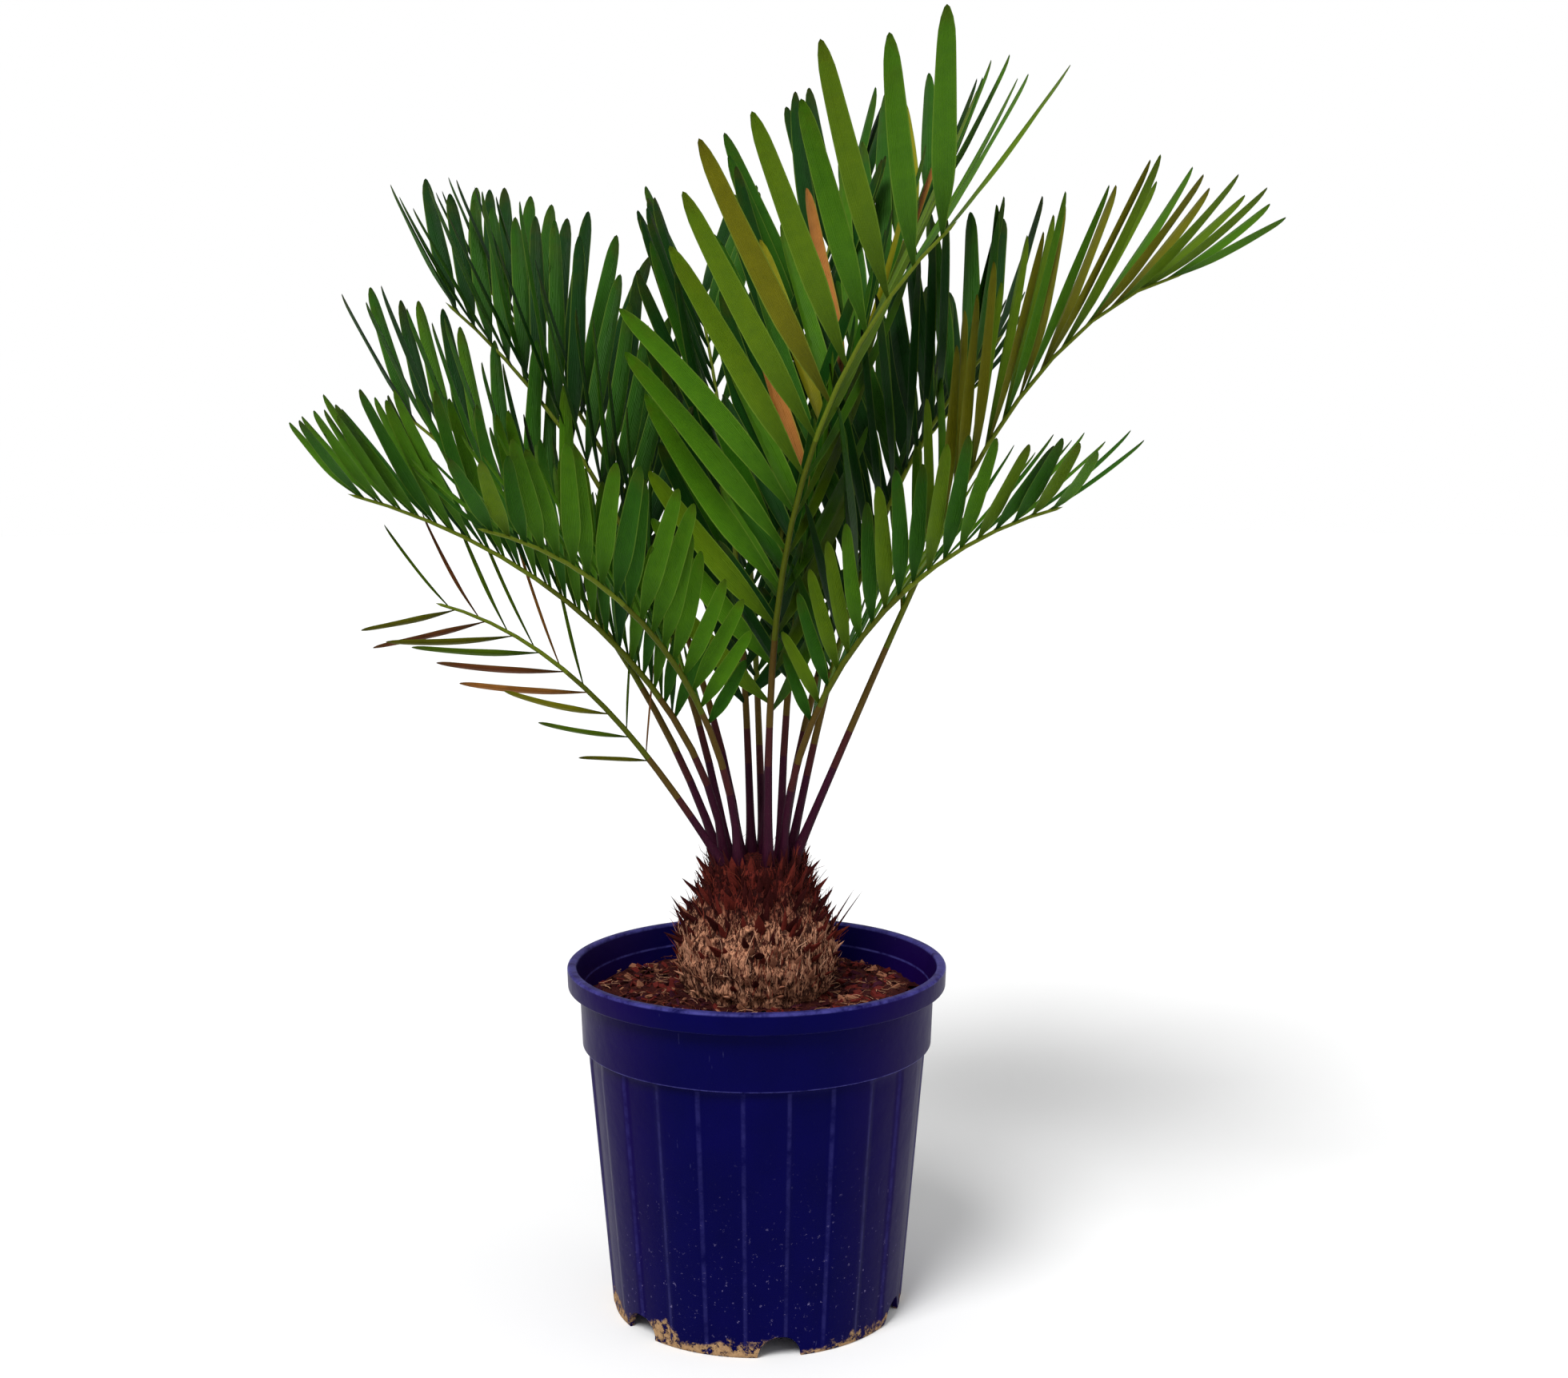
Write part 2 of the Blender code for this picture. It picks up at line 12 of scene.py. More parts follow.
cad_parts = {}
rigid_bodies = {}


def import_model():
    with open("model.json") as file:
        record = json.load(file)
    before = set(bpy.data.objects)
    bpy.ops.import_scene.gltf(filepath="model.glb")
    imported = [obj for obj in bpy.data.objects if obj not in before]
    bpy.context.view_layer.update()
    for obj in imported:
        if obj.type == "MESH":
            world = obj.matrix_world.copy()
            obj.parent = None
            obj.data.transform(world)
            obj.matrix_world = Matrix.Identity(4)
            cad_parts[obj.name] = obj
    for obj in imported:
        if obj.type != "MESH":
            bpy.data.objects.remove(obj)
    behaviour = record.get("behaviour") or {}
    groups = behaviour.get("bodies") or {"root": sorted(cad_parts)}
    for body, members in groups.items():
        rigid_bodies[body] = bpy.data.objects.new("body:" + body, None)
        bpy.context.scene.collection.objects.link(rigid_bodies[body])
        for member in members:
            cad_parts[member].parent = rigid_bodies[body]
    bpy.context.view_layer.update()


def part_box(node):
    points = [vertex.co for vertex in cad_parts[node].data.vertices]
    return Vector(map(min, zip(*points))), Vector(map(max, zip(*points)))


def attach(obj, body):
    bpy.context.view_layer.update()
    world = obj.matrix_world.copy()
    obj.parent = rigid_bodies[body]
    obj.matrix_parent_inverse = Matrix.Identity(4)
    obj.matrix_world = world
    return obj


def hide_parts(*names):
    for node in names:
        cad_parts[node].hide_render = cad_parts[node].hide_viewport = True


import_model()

# The view: a phone held at chest height, a little above the pot and pointed slightly down, with the
# plant on a white ground under a bright overcast sky that comes mostly from above and from the front.
VIEW_PLACE = (0.0187, -1.449, 0.627)
VIEW_PITCH = math.radians(82.3)
VIEW_FOCAL_PX = 2700
PHOTO_WIDTH_PX = 1960
SENSOR_WIDTH = 36.0
FLOOR_RADIUS = 9.0
SKY_SEEN = 1.0
SKY_GLOW = 0.50
LAMPS = (
    # name, strength, width in the sky, tilt from overhead, compass turn, the last three in degrees
    ("sun", 2.7, 25, 38, -28),
    ("fill", 0.5, 90, 70, 60),
)

camera = bpy.data.objects.new("camera", bpy.data.cameras.new("camera"))
camera.location = VIEW_PLACE
camera.rotation_euler = (VIEW_PITCH, 0.0, 0.0)
camera.data.sensor_width = SENSOR_WIDTH
camera.data.lens = VIEW_FOCAL_PX / PHOTO_WIDTH_PX * SENSOR_WIDTH
camera.data.dof.use_dof = False
bpy.context.scene.collection.objects.link(camera)
bpy.context.scene.camera = camera
bpy.context.scene.view_settings.view_transform = "Standard"

sky = bpy.data.worlds.new("sky")
sky.use_nodes = True
bpy.context.scene.world = sky

for lamp_name, strength, spread, tilt, turn in LAMPS:
    lamp = bpy.data.objects.new(lamp_name, bpy.data.lights.new(lamp_name, "SUN"))
    lamp.data.energy = strength
    lamp.data.angle = math.radians(spread)
    lamp.rotation_euler = (math.radians(tilt), 0.0, math.radians(turn))
    bpy.context.scene.collection.objects.link(lamp)


class Wire:
    """A value on its way through a material: sums on it add Math nodes, and node() adds any other."""

    def __init__(self, tree, socket=None):
        self.tree = tree
        self.socket = socket

    def node(self, kind, settings=None, sockets=None, output=0):
        made = self.tree.nodes.new(kind)
        for name, value in (settings or {}).items():
            setattr(made, name, value)
        for name, value in (sockets or {}).items():
            if isinstance(value, Wire):
                self.tree.links.new(value.socket, made.inputs[name])
            elif isinstance(value, tuple) and made.inputs[name].type == "RGBA":
                made.inputs[name].default_value = (*value, 1.0)
            else:
                made.inputs[name].default_value = value
        return Wire(self.tree, made.outputs[output])

    def math(self, operation, first, second=0.0):
        return self.node("ShaderNodeMath", {"operation": operation}, {0: first, 1: second})

    def __add__(self, other):
        return self.math("ADD", self, other)

    def __radd__(self, other):
        return self.math("ADD", other, self)

    def __sub__(self, other):
        return self.math("SUBTRACT", self, other)

    def __rsub__(self, other):
        return self.math("SUBTRACT", other, self)

    def __mul__(self, other):
        return self.math("MULTIPLY", self, other)

    def __rmul__(self, other):
        return self.math("MULTIPLY", other, self)

    def above(self, edge, softness):
        """0 below the edge and 1 over it, with a soft step between."""
        settings = {"interpolation_type": "SMOOTHSTEP"}
        sockets = {0: self, 1: edge - softness, 2: edge + softness}
        return self.node("ShaderNodeMapRange", settings, sockets)

    def below(self, edge, softness):
        """1 below the edge and 0 over it, with a soft step between."""
        return 1.0 - self.above(edge, softness)

    def mix(self, low, high):
        """The colour low where this value is 0, and high where it is 1."""
        sockets = {0: self, 6: low, 7: high}
        return self.node("ShaderNodeMix", {"data_type": "RGBA", "clamp_factor": True}, sockets, output=2)

    def noise(self, scale, detail=3.0, rough=0.55):
        """Cloudy values around a half, at so many spots in a metre of this place."""
        sockets = {"Vector": self, "Scale": scale, "Detail": detail, "Roughness": rough}
        return self.node("ShaderNodeTexNoise", None, sockets)

    def stretched(self, x, y, z):
        """This place with its parts multiplied: a small z draws a pattern out upwards."""
        settings = {"operation": "MULTIPLY"}
        return self.node("ShaderNodeVectorMath", settings, {0: self, 1: (x, y, z)})

    def part(self, axis):
        """One part of a place: 0, 1 or 2 for x, y or z."""
        return self.node("ShaderNodeSeparateXYZ", None, {0: self}, output=axis)


background = sky.node_tree.nodes["Background"]
background.inputs["Color"].default_value = (1.0, 1.0, 1.0, 1.0)
sky_seen = Wire(sky.node_tree).node("ShaderNodeLightPath")
sky_strength = SKY_GLOW + sky_seen * (SKY_SEEN - SKY_GLOW)
sky.node_tree.links.new(sky_strength.socket, background.inputs["Strength"])


def new_finish(name):
    """A Principled material, its shader, and the place on the object in metres."""
    made = bpy.data.materials.new(name)
    made.use_nodes = True
    tree = made.node_tree
    place = Wire(tree).node("ShaderNodeTexCoord", output=3)
    return made, tree.nodes["Principled BSDF"], place


def feed(shader, sockets, relief=None, depth=0.0005):
    """Set or link a shader's sockets, and let a value raise the surface by a depth in metres."""
    for name, value in sockets.items():
        if isinstance(value, Wire):
            value.tree.links.new(value.socket, shader.inputs[name])
        elif isinstance(value, tuple):
            shader.inputs[name].default_value = (*value, 1.0)
        else:
            shader.inputs[name].default_value = value
    if relief:
        bump = relief.node("ShaderNodeBump", None, {"Height": relief, "Distance": depth})
        relief.tree.links.new(bump.socket, shader.inputs["Normal"])


floor_finish, floor_shader, floor_place = new_finish("white ground")
feed(floor_shader, {
    "Base Color": floor_place.noise(1.5).mix((0.90, 0.90, 0.90), (0.93, 0.93, 0.93)),
    "Roughness": 0.9})
floor_mesh = bmesh.new()
bmesh.ops.create_circle(floor_mesh, cap_ends=True, segments=96, radius=FLOOR_RADIUS)
floor = bpy.data.objects.new("floor", bpy.data.meshes.new("floor"))
floor_mesh.to_mesh(floor.data)
floor_mesh.free()
floor.data.materials.append(floor_finish)
bpy.context.scene.collection.objects.link(floor)


# Pot: a thin nursery pot, injection moulded in navy plastic, with a rolled rim, a plain collar and a
# wall pressed into shallow flutes. Six notches in its foot drain it, and dried mud sits round them.
pot_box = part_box("pot")
POT_HEIGHT = pot_box[1][2]
POT_RIM_RADIUS = pot_box[1][0]
POT_FOOT_RADIUS = 0.1005
POT_WALL = 0.0025
POT_STEPS = 288
COLLAR_BOTTOM = 0.187
COLLAR_TOP = 0.2275
COLLAR_FLARE = 0.0015
WALL_TOP_RADIUS = 0.1165
COLLAR_RADIUS = 0.1200
RIM_INNER_RADIUS = 0.1235
RIM_ROUND = 0.002
FLOOR_RAISED = 0.016
FLOOR_DISC_RADIUS = 0.060
FLOOR_SLOPE_WIDTH = 0.006
FLUTE_DEPTH = 0.0014
FLUTE_TURN = math.radians(30)
FLUTE_START = math.radians(11.25)
FLUTE_EDGE = math.radians(1.2)
FLUTE_FOOT = 0.003
FLUTE_RUN_OUT = 0.004
PLAIN_STRIP = 0.0005
RIM_UNDERCUT = 0.0016
SMALL_ROUND = 0.0012
COLLAR_ROUND = 0.0010
HIGHLIGHT_RINGS = (
    # height and half width of the pale lines along the pot's edges, which are painted highlights
    (COLLAR_BOTTOM, 0.0008),
    (COLLAR_TOP - 0.0006, 0.0007),
    (POT_HEIGHT - 0.0008, 0.0010),
)
WALL_HEIGHTS = (0.1862, 0.1848, 0.1825, 0.176, 0.12, 0.06, 0.024, 0.010, 0.004)
NOTCHES = 6
NOTCH_START = math.radians(-81)
NOTCH_HALF_WIDTH = 0.0145
NOTCH_HEIGHT = 0.0150
FULL_TURN = 2 * math.pi


def around(turn, radius, height):
    return Vector((radius * math.cos(turn), radius * math.sin(turn), height))


def arc(centre, radius, start, end, steps):
    """Points of a profile's rounding, its angles in degrees from outwards."""
    points = []
    for index in range(steps + 1):
        angle = math.radians(start + (end - start) * index / steps)
        points.append((centre[0] + radius * math.cos(angle), centre[1] + radius * math.sin(angle)))
    return points


def new_piece(name, mesh, finishes, slot, *nodes, sharp=40):
    """Link a piece, give it its finishes, and let it ride on the plant in place of its solids."""
    piece = bpy.data.objects.new(name, mesh)
    for finish in finishes:
        mesh.materials.append(finish)
    bpy.context.scene.collection.objects.link(piece)
    mesh.shade_smooth()
    mesh.set_sharp_from_angle(angle=math.radians(sharp))
    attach(piece, "root")
    if nodes:
        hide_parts(*nodes)
    return piece


def turned_mesh(name, profile, steps, move=None):
    """A closed turned body, from a profile that runs from the axis to the axis, moved point by point."""
    rings = profile[1:-1]
    points = [Vector((0.0, 0.0, profile[0][1])), Vector((0.0, 0.0, profile[-1][1]))]
    for radius, height in rings:
        points += [around(FULL_TURN * step / steps, radius, height) for step in range(steps)]
    if move:
        points = [move(point) for point in points]
    faces = []
    last = 2 + (len(rings) - 1) * steps
    for step in range(steps):
        after = (step + 1) % steps
        faces.append((0, 2 + step, 2 + after))
        faces.append((1, last + after, last + step))
        for ring in range(len(rings) - 1):
            base = 2 + ring * steps
            faces.append((base + step, base + steps + step, base + steps + after, base + after))
    mesh = bpy.data.meshes.new(name)
    mesh.from_pydata([tuple(point) for point in points], [], faces)
    return mesh


def wall_radius(height):
    return POT_FOOT_RADIUS + (WALL_TOP_RADIUS - POT_FOOT_RADIUS) * height / COLLAR_BOTTOM


def fluted(point):
    """Press the wall in along every second fifteen degrees, below the collar."""
    radius = math.hypot(point.x, point.y)
    on_wall = radius >= wall_radius(point.z) - PLAIN_STRIP
    if not (on_wall and FLUTE_FOOT < point.z < COLLAR_BOTTOM - PLAIN_STRIP):
        return point
    turn = (math.atan2(point.y, point.x) - FLUTE_START) % FLUTE_TURN
    middle = FLUTE_TURN / 4
    inside = min(1.0, max(0.0, (middle + FLUTE_EDGE - abs(turn - middle)) / (2 * FLUTE_EDGE)))
    ends = min(1.0, (COLLAR_BOTTOM - PLAIN_STRIP - point.z) / FLUTE_RUN_OUT)
    pressed = (radius - FLUTE_DEPTH * inside * ends) / radius
    return Vector((point.x * pressed, point.y * pressed, point.z))


pot_inner_top = WALL_TOP_RADIUS - POT_WALL
pot_foot_inner = POT_FOOT_RADIUS - 1.6 * POT_WALL
pot_profile = [
    (0.0, POT_WALL),
    (FLOOR_DISC_RADIUS - POT_WALL, POT_WALL),
    (FLOOR_DISC_RADIUS + FLOOR_SLOPE_WIDTH - POT_WALL, FLOOR_RAISED + POT_WALL),
    (wall_radius(FLOOR_RAISED) - POT_WALL, FLOOR_RAISED + POT_WALL),
    (pot_inner_top, COLLAR_BOTTOM - RIM_ROUND),
    (COLLAR_RADIUS - POT_WALL, COLLAR_BOTTOM + 2 * RIM_ROUND),
    (COLLAR_RADIUS + COLLAR_FLARE - POT_WALL, COLLAR_TOP),
    *arc((RIM_INNER_RADIUS + RIM_ROUND, POT_HEIGHT - RIM_ROUND), RIM_ROUND, 180, 90, 5),
    *arc((POT_RIM_RADIUS - RIM_ROUND, POT_HEIGHT - RIM_ROUND), RIM_ROUND, 90, 0, 6),
    *arc((POT_RIM_RADIUS - RIM_UNDERCUT, COLLAR_TOP + SMALL_ROUND), SMALL_ROUND, 0, -90, 4),
    *arc((COLLAR_RADIUS + COLLAR_FLARE + SMALL_ROUND, COLLAR_TOP - SMALL_ROUND), SMALL_ROUND, 90, 180, 4),
    *arc((COLLAR_RADIUS - COLLAR_ROUND, COLLAR_BOTTOM + COLLAR_ROUND), COLLAR_ROUND, 0, -80, 4),
    *[(wall_radius(height) - (0.0 if height < 0.18 else 0.0004), height) for height in WALL_HEIGHTS],
    *arc((POT_FOOT_RADIUS - 0.0018, SMALL_ROUND), SMALL_ROUND, 0, -90, 3),
    (pot_foot_inner + 0.0006, 0.0),
    (pot_foot_inner, 0.0006),
    (pot_foot_inner - 0.001, FLOOR_RAISED),
    (FLOOR_DISC_RADIUS + FLOOR_SLOPE_WIDTH, FLOOR_RAISED),
    (FLOOR_DISC_RADIUS, 0.0),
    (0.0, 0.0),
]
pot_mesh = turned_mesh("nursery_pot", pot_profile[::-1], POT_STEPS, fluted)
pot_facing = bmesh.new()
pot_facing.from_mesh(pot_mesh)
bmesh.ops.recalc_face_normals(pot_facing, faces=pot_facing.faces)
pot_facing.to_mesh(pot_mesh)
pot_facing.free()


def ring_at(height, level, half):
    """1 within a narrow band of heights, and 0 elsewhere."""
    return height.above(level - half, half / 2) * height.below(level + half, half / 2)


pot_plastic, pot_shader, pot_place = new_finish("navy plastic")
pot_height = pot_place.part(2)
pot_clouds = pot_place.noise(26, 4)
pot_grain = pot_place.noise(900, 2)
pot_scratches = pot_place.stretched(1, 1, 0.12).noise(420, 3).above(0.75, 0.03)
pot_dust = pot_place.noise(330, 5, 0.7).above(0.66, 0.03) * pot_height.below(0.09, 0.07)
pot_mud_edge = 0.0085 + (pot_place.noise(38, 5, 0.65) - 0.52) * 0.050 - pot_place.part(0) * 0.045
pot_mud = (pot_height - pot_mud_edge).below(0.0, 0.0022) * pot_place.noise(210, 5, 0.75).above(0.46, 0.04)
pot_turn = pot_place.math("ARCTAN2", pot_place.part(1), pot_place.part(0)) - FLUTE_START
pot_phase = pot_place.math("FRACT", pot_turn * (2 / FLUTE_TURN) + 0.5) - 0.5
# Painted highlights: pale lines along every flute edge, at the collar's foot, under the rim and on its top,
# broken up by noise
pot_flute_highlight = pot_place.math("ABSOLUTE", pot_phase).below(0.045, 0.025)
pot_flute_highlight = pot_flute_highlight * pot_height.below(COLLAR_BOTTOM - 0.002, 0.001)
pot_edge_highlight = pot_flute_highlight * 0.24
for level, half in HIGHLIGHT_RINGS:
    pot_edge_highlight = pot_place.math("MAXIMUM", pot_edge_highlight, ring_at(pot_height, level, half))
pot_edge_highlight = pot_edge_highlight * pot_place.noise(85, 4, 0.7).above(0.45, 0.20)
# Painted sheen: the left and right sides, as seen from the front, are tinted a lighter purple
pot_side_sheen = pot_place.math("ABSOLUTE", pot_place.part(0)).above(0.085, 0.040)
pot_colour = pot_clouds.mix((0.0002, 0.0002, 0.030), (0.0010, 0.0004, 0.056))
pot_colour = (pot_side_sheen * 0.8).mix(pot_colour, (0.0100, 0.0010, 0.054))
# the painted highlights lighten the pot's edges
pot_colour = (pot_edge_highlight * 0.55).mix(pot_colour, (0.085, 0.080, 0.34))
pot_colour = (pot_scratches * 0.10).mix(pot_colour, (0.22, 0.22, 0.50))
pot_colour = (pot_dust * 0.45).mix(pot_colour, (0.26, 0.22, 0.42))
pot_mud_colour = pot_place.noise(380, 5, 0.7).mix((0.050, 0.014, 0.010), (0.60, 0.38, 0.19))
pot_colour = pot_mud.mix(pot_colour, pot_mud_colour)
feed(pot_shader, {
    "Base Color": pot_colour,
    "Roughness": 0.30 + pot_clouds * 0.12 + pot_mud * 0.45 + pot_dust * 0.3,
    "Specular IOR Level": 0.030},
    pot_grain * 0.10 + pot_place.noise(60, 2) * 0.8 + pot_mud * 0.9, 0.0006)

pot = new_piece("nursery_pot", pot_mesh, [pot_plastic], "pot_plastic", "pot", sharp=35)
notch_cutters = bpy.data.collections.new("notch_cutters")
bpy.context.scene.collection.children.link(notch_cutters)
for notch in range(NOTCHES):
    notch_turn = NOTCH_START + notch * FULL_TURN / NOTCHES
    cutter_mesh = bmesh.new()
    bmesh.ops.create_cone(cutter_mesh, cap_ends=True, segments=40, radius1=1.0, radius2=1.0, depth=0.020)
    placing = (Matrix.Translation(around(notch_turn, POT_FOOT_RADIUS - 0.002, 0.0))
               @ Matrix.Rotation(notch_turn, 4, "Z") @ Matrix.Rotation(math.radians(90), 4, "Y")
               @ Matrix.Diagonal((NOTCH_HEIGHT, NOTCH_HALF_WIDTH, 1.0, 1.0)))
    bmesh.ops.transform(cutter_mesh, matrix=placing, verts=cutter_mesh.verts)
    cutter = bpy.data.objects.new("notch_cutter", bpy.data.meshes.new("notch_cutter"))
    cutter_mesh.to_mesh(cutter.data)
    cutter_mesh.free()
    notch_cutters.objects.link(cutter)
notch_cut = pot.modifiers.new("Notches", "BOOLEAN")
notch_cut.operation = "DIFFERENCE"
notch_cut.operand_type = "COLLECTION"
notch_cut.collection = notch_cutters
pot_graph = bpy.context.evaluated_depsgraph_get()
pot_graph.update()
pot_cut_mesh = bpy.data.meshes.new_from_object(pot.evaluated_get(pot_graph))
pot.modifiers.clear()
pot.data = pot_cut_mesh
for cutter in list(notch_cutters.objects):
    bpy.data.objects.remove(cutter, do_unlink=True)
bpy.data.collections.remove(notch_cutters)


# Potting mix: moist peat and milled bark, filled to a finger's width under the rim. Reddish and tan
# chips and fine coir fibres lie loose on top of it.
SOIL_LEVEL = 0.220
SOIL_RADIUS = 0.1176
SOIL_DEPTH = 0.018
SOIL_RINGS = 64
SOIL_STEPS = 220
SOIL_FLAT_RADIUS = 0.085
SOIL_SINK = 0.0045
CHIPS = 900
CHIP_INNER_RADIUS = 0.040
CHIP_OUTER_RADIUS = 0.113
CHIP_SIZES = (0.0025, 0.0085)
FIBRES = 420
FIBRE_KNOTS = 6
FIBRE_REACH = 0.115


def soil_height(x, y):
    """The lumpy surface, which sinks a little towards the pot's wall."""
    radius = math.hypot(x, y)
    lumps = noise.noise(Vector((x, y, 0.3)) * 70) * 0.0030 + noise.noise(Vector((x, y, 7.0)) * 210) * 0.0016
    return SOIL_LEVEL + lumps + 0.0012 - SOIL_SINK * max(0.0, (radius - SOIL_FLAT_RADIUS) / 0.033) ** 2


def lumpy(point):
    """Lift a point of the bed's top to the lumpy surface, and leave its underside flat."""
    if point.z < SOIL_LEVEL - 0.5 * SOIL_DEPTH:
        return point
    crumb = noise.noise(point * 600) * 0.0006
    return Vector((point.x, point.y, soil_height(point.x, point.y) + crumb))


soil_profile = [(0.0, SOIL_LEVEL)]
soil_profile += [(SOIL_RADIUS * (index + 1) / SOIL_RINGS, SOIL_LEVEL) for index in range(SOIL_RINGS)]
soil_profile += [(SOIL_RADIUS - 0.002, SOIL_LEVEL - SOIL_DEPTH), (0.0, SOIL_LEVEL - SOIL_DEPTH)]
peat, peat_shader, peat_place = new_finish("moist peat")
peat_crumbs = peat_place.noise(420, 5, 0.7)
peat_light = peat_place.noise(900, 3, 0.6).above(0.64, 0.03)
peat_colour = peat_crumbs.mix((0.007, 0.0010, 0.0018), (0.070, 0.012, 0.010))
feed(peat_shader, {
    "Base Color": (peat_light * 0.4).mix(peat_colour, (0.24, 0.085, 0.050)),
    "Roughness": 0.75 + peat_crumbs * 0.2,
    "Specular IOR Level": 0.08},
    peat_crumbs + peat_place.noise(1500, 3) * 0.4, 0.0012)
new_piece("potting_mix_bed", turned_mesh("potting_mix_bed", soil_profile, SOIL_STEPS, lumpy), [peat],
          "potting_mix", "potting_mix", sharp=60)


def crumb_finish(name, dark, light, scale=700):
    """A dull, fibrous finish between two colours."""
    made, shader, place = new_finish(name)
    grain = place.noise(scale, 4, 0.65)
    feed(shader, {
        "Base Color": grain.mix(dark, light),
        "Roughness": 0.85,
        "Specular IOR Level": 0.08},
        grain, 0.0005)
    return made


def add_shape(store, points, faces, slot):
    """Add points and faces to a growing (points, faces, slots) store, with one slot or one for each face."""
    shift = len(store[0])
    store[0].extend(tuple(point) for point in points)
    store[1].extend(tuple(corner + shift for corner in face) for face in faces)
    store[2].extend(slot if isinstance(slot, list) else [slot] * len(faces))


def mesh_of(name, store):
    """One mesh of all that was added to a store."""
    mesh = bpy.data.meshes.new(name)
    mesh.from_pydata(store[0], [], store[1])
    mesh.polygons.foreach_set("material_index", store[2])
    return mesh


BOX_FACES = ((0, 3, 2, 1), (4, 5, 6, 7), (0, 1, 5, 4), (1, 2, 6, 5), (2, 3, 7, 6), (3, 0, 4, 7))


def chip_shape(draw, centre, size):
    """A broken flake of bark: a flat block with every corner knocked about."""
    spin = Matrix.Rotation(draw.uniform(0, FULL_TURN), 3, "Z")
    tip = Matrix.Rotation(draw.gauss(0, 0.35), 3, "X") @ Matrix.Rotation(draw.gauss(0, 0.35), 3, "Y")
    sides = Vector((size, size * draw.uniform(0.3, 0.7), size * draw.uniform(0.12, 0.35)))
    points = []
    for z in (-0.5, 0.5):
        for x, y in ((-0.5, -0.5), (0.5, -0.5), (0.5, 0.5), (-0.5, 0.5)):
            corner = Vector((x * sides.x, y * sides.y, z * sides.z))
            corner += Vector([draw.uniform(-0.16, 0.16) * sides[axis] for axis in range(3)])
            points.append(centre + spin @ (tip @ corner))
    return points, BOX_FACES


def band_faces(start, sides):
    """The faces between a ring of points, counted from its first, and the ring after it."""
    faces = []
    for corner in range(sides):
        a = start + corner
        b = start + (corner + 1) % sides
        faces.append((a, b, b + sides, a + sides))
    return faces


def strand_shape(route, thick, thin):
    """A three-sided strand along a route, tapering to its end."""
    points = []
    for index, place in enumerate(route):
        ahead = route[min(index + 1, len(route) - 1)] - route[max(index - 1, 0)]
        turn = ahead.to_track_quat("Z", "Y").to_matrix()
        radius = thick + (thin - thick) * index / (len(route) - 1)
        points += [place + turn @ around(FULL_TURN * corner / 3, radius, 0.0) for corner in range(3)]
    faces = [(2, 1, 0)]
    for index in range(len(route) - 1):
        faces += band_faces(index * 3, 3)
    last = (len(route) - 1) * 3
    faces.append((last, last + 1, last + 2))
    return points, faces


scatter = random.Random(31)
chips = ([], [], [])
while len(chips[1]) < CHIPS * len(BOX_FACES):
    chip_radius = CHIP_OUTER_RADIUS * math.sqrt(scatter.random())
    chip_turn = scatter.uniform(0, FULL_TURN)
    if chip_radius > CHIP_INNER_RADIUS:
        chip_at = around(chip_turn, chip_radius, 0.0)
        chip_at.z = soil_height(chip_at.x, chip_at.y) + 0.0006
        add_shape(chips, *chip_shape(scatter, chip_at, scatter.uniform(*CHIP_SIZES)),
                  scatter.choice((0, 0, 0, 0, 1, 1, 1, 3, 3, 2)))
new_piece("bark_chips", mesh_of("bark_chips", chips), [
    crumb_finish("dark bark", (0.010, 0.0012, 0.0022), (0.042, 0.006, 0.007)),
    crumb_finish("red bark", (0.040, 0.0030, 0.0035), (0.17, 0.022, 0.016)),
    crumb_finish("tan bark", (0.14, 0.042, 0.022), (0.36, 0.16, 0.09)),
    crumb_finish("purple bark", (0.018, 0.0020, 0.0080), (0.060, 0.010, 0.022)),
], "potting_mix", sharp=20)

fibres = ([], [], [])
for _ in range(FIBRES):
    fibre_turn = scatter.uniform(0, FULL_TURN)
    fibre_at = around(fibre_turn, scatter.uniform(0.050, 0.112), 0.0)
    fibre_heading = scatter.uniform(0, FULL_TURN)
    fibre_bend = scatter.gauss(0, 0.5)
    fibre_route = []
    for _ in range(FIBRE_KNOTS):
        height = soil_height(fibre_at.x, fibre_at.y) + 0.0016 + scatter.uniform(0, 0.0012)
        fibre_route.append(Vector((fibre_at.x, fibre_at.y, height)))
        fibre_heading += fibre_bend
        step_out = fibre_at + around(fibre_heading, scatter.uniform(0.0015, 0.0042), 0.0)
        fibre_at = step_out if step_out.length < FIBRE_REACH else fibre_at * 0.97
    add_shape(fibres, *strand_shape(fibre_route, 0.00035, 0.00012), scatter.choice((0, 1, 1, 2)))
new_piece("coir_fibres", mesh_of("coir_fibres", fibres), [
    crumb_finish("dark fibre", (0.012, 0.0020, 0.0025), (0.050, 0.010, 0.008)),
    crumb_finish("brown fibre", (0.060, 0.012, 0.008), (0.17, 0.050, 0.026)),
    crumb_finish("pale fibre", (0.22, 0.090, 0.050), (0.48, 0.27, 0.16)),
], "potting_mix", sharp=60)


# Caudex: the swollen woody stem, half out of the mix. Its skin is pale corky fibre with pits darkened as
# painted shade, and the dark pointed stubs of old leaf bases cover it, closest together at the crown.
CAUDEX_TOP = 0.315
CAUDEX_WIDEST_RADIUS = 0.0555
CAUDEX_OUTLINE = (
    (0.047, SOIL_LEVEL - 0.004),
    (0.047, SOIL_LEVEL),
    (0.053, 0.232),
    (CAUDEX_WIDEST_RADIUS, 0.246),
    (0.053, 0.260),
    (0.047, 0.273),
    (0.040, 0.287),
    (0.0345, 0.301),
    (0.0315, CAUDEX_TOP - 0.002),
)
CAUDEX_STEPS = 260
CAUDEX_RINGS = 120
STUB_ROWS = (
    # height, stubs, length, lean from upright in degrees
    (0.258, 9, 0.012, 62),
    (0.273, 10, 0.014, 50),
    (0.287, 10, 0.014, 42),
    (0.300, 11, 0.013, 34),
    (0.309, 12, 0.011, 24),
)
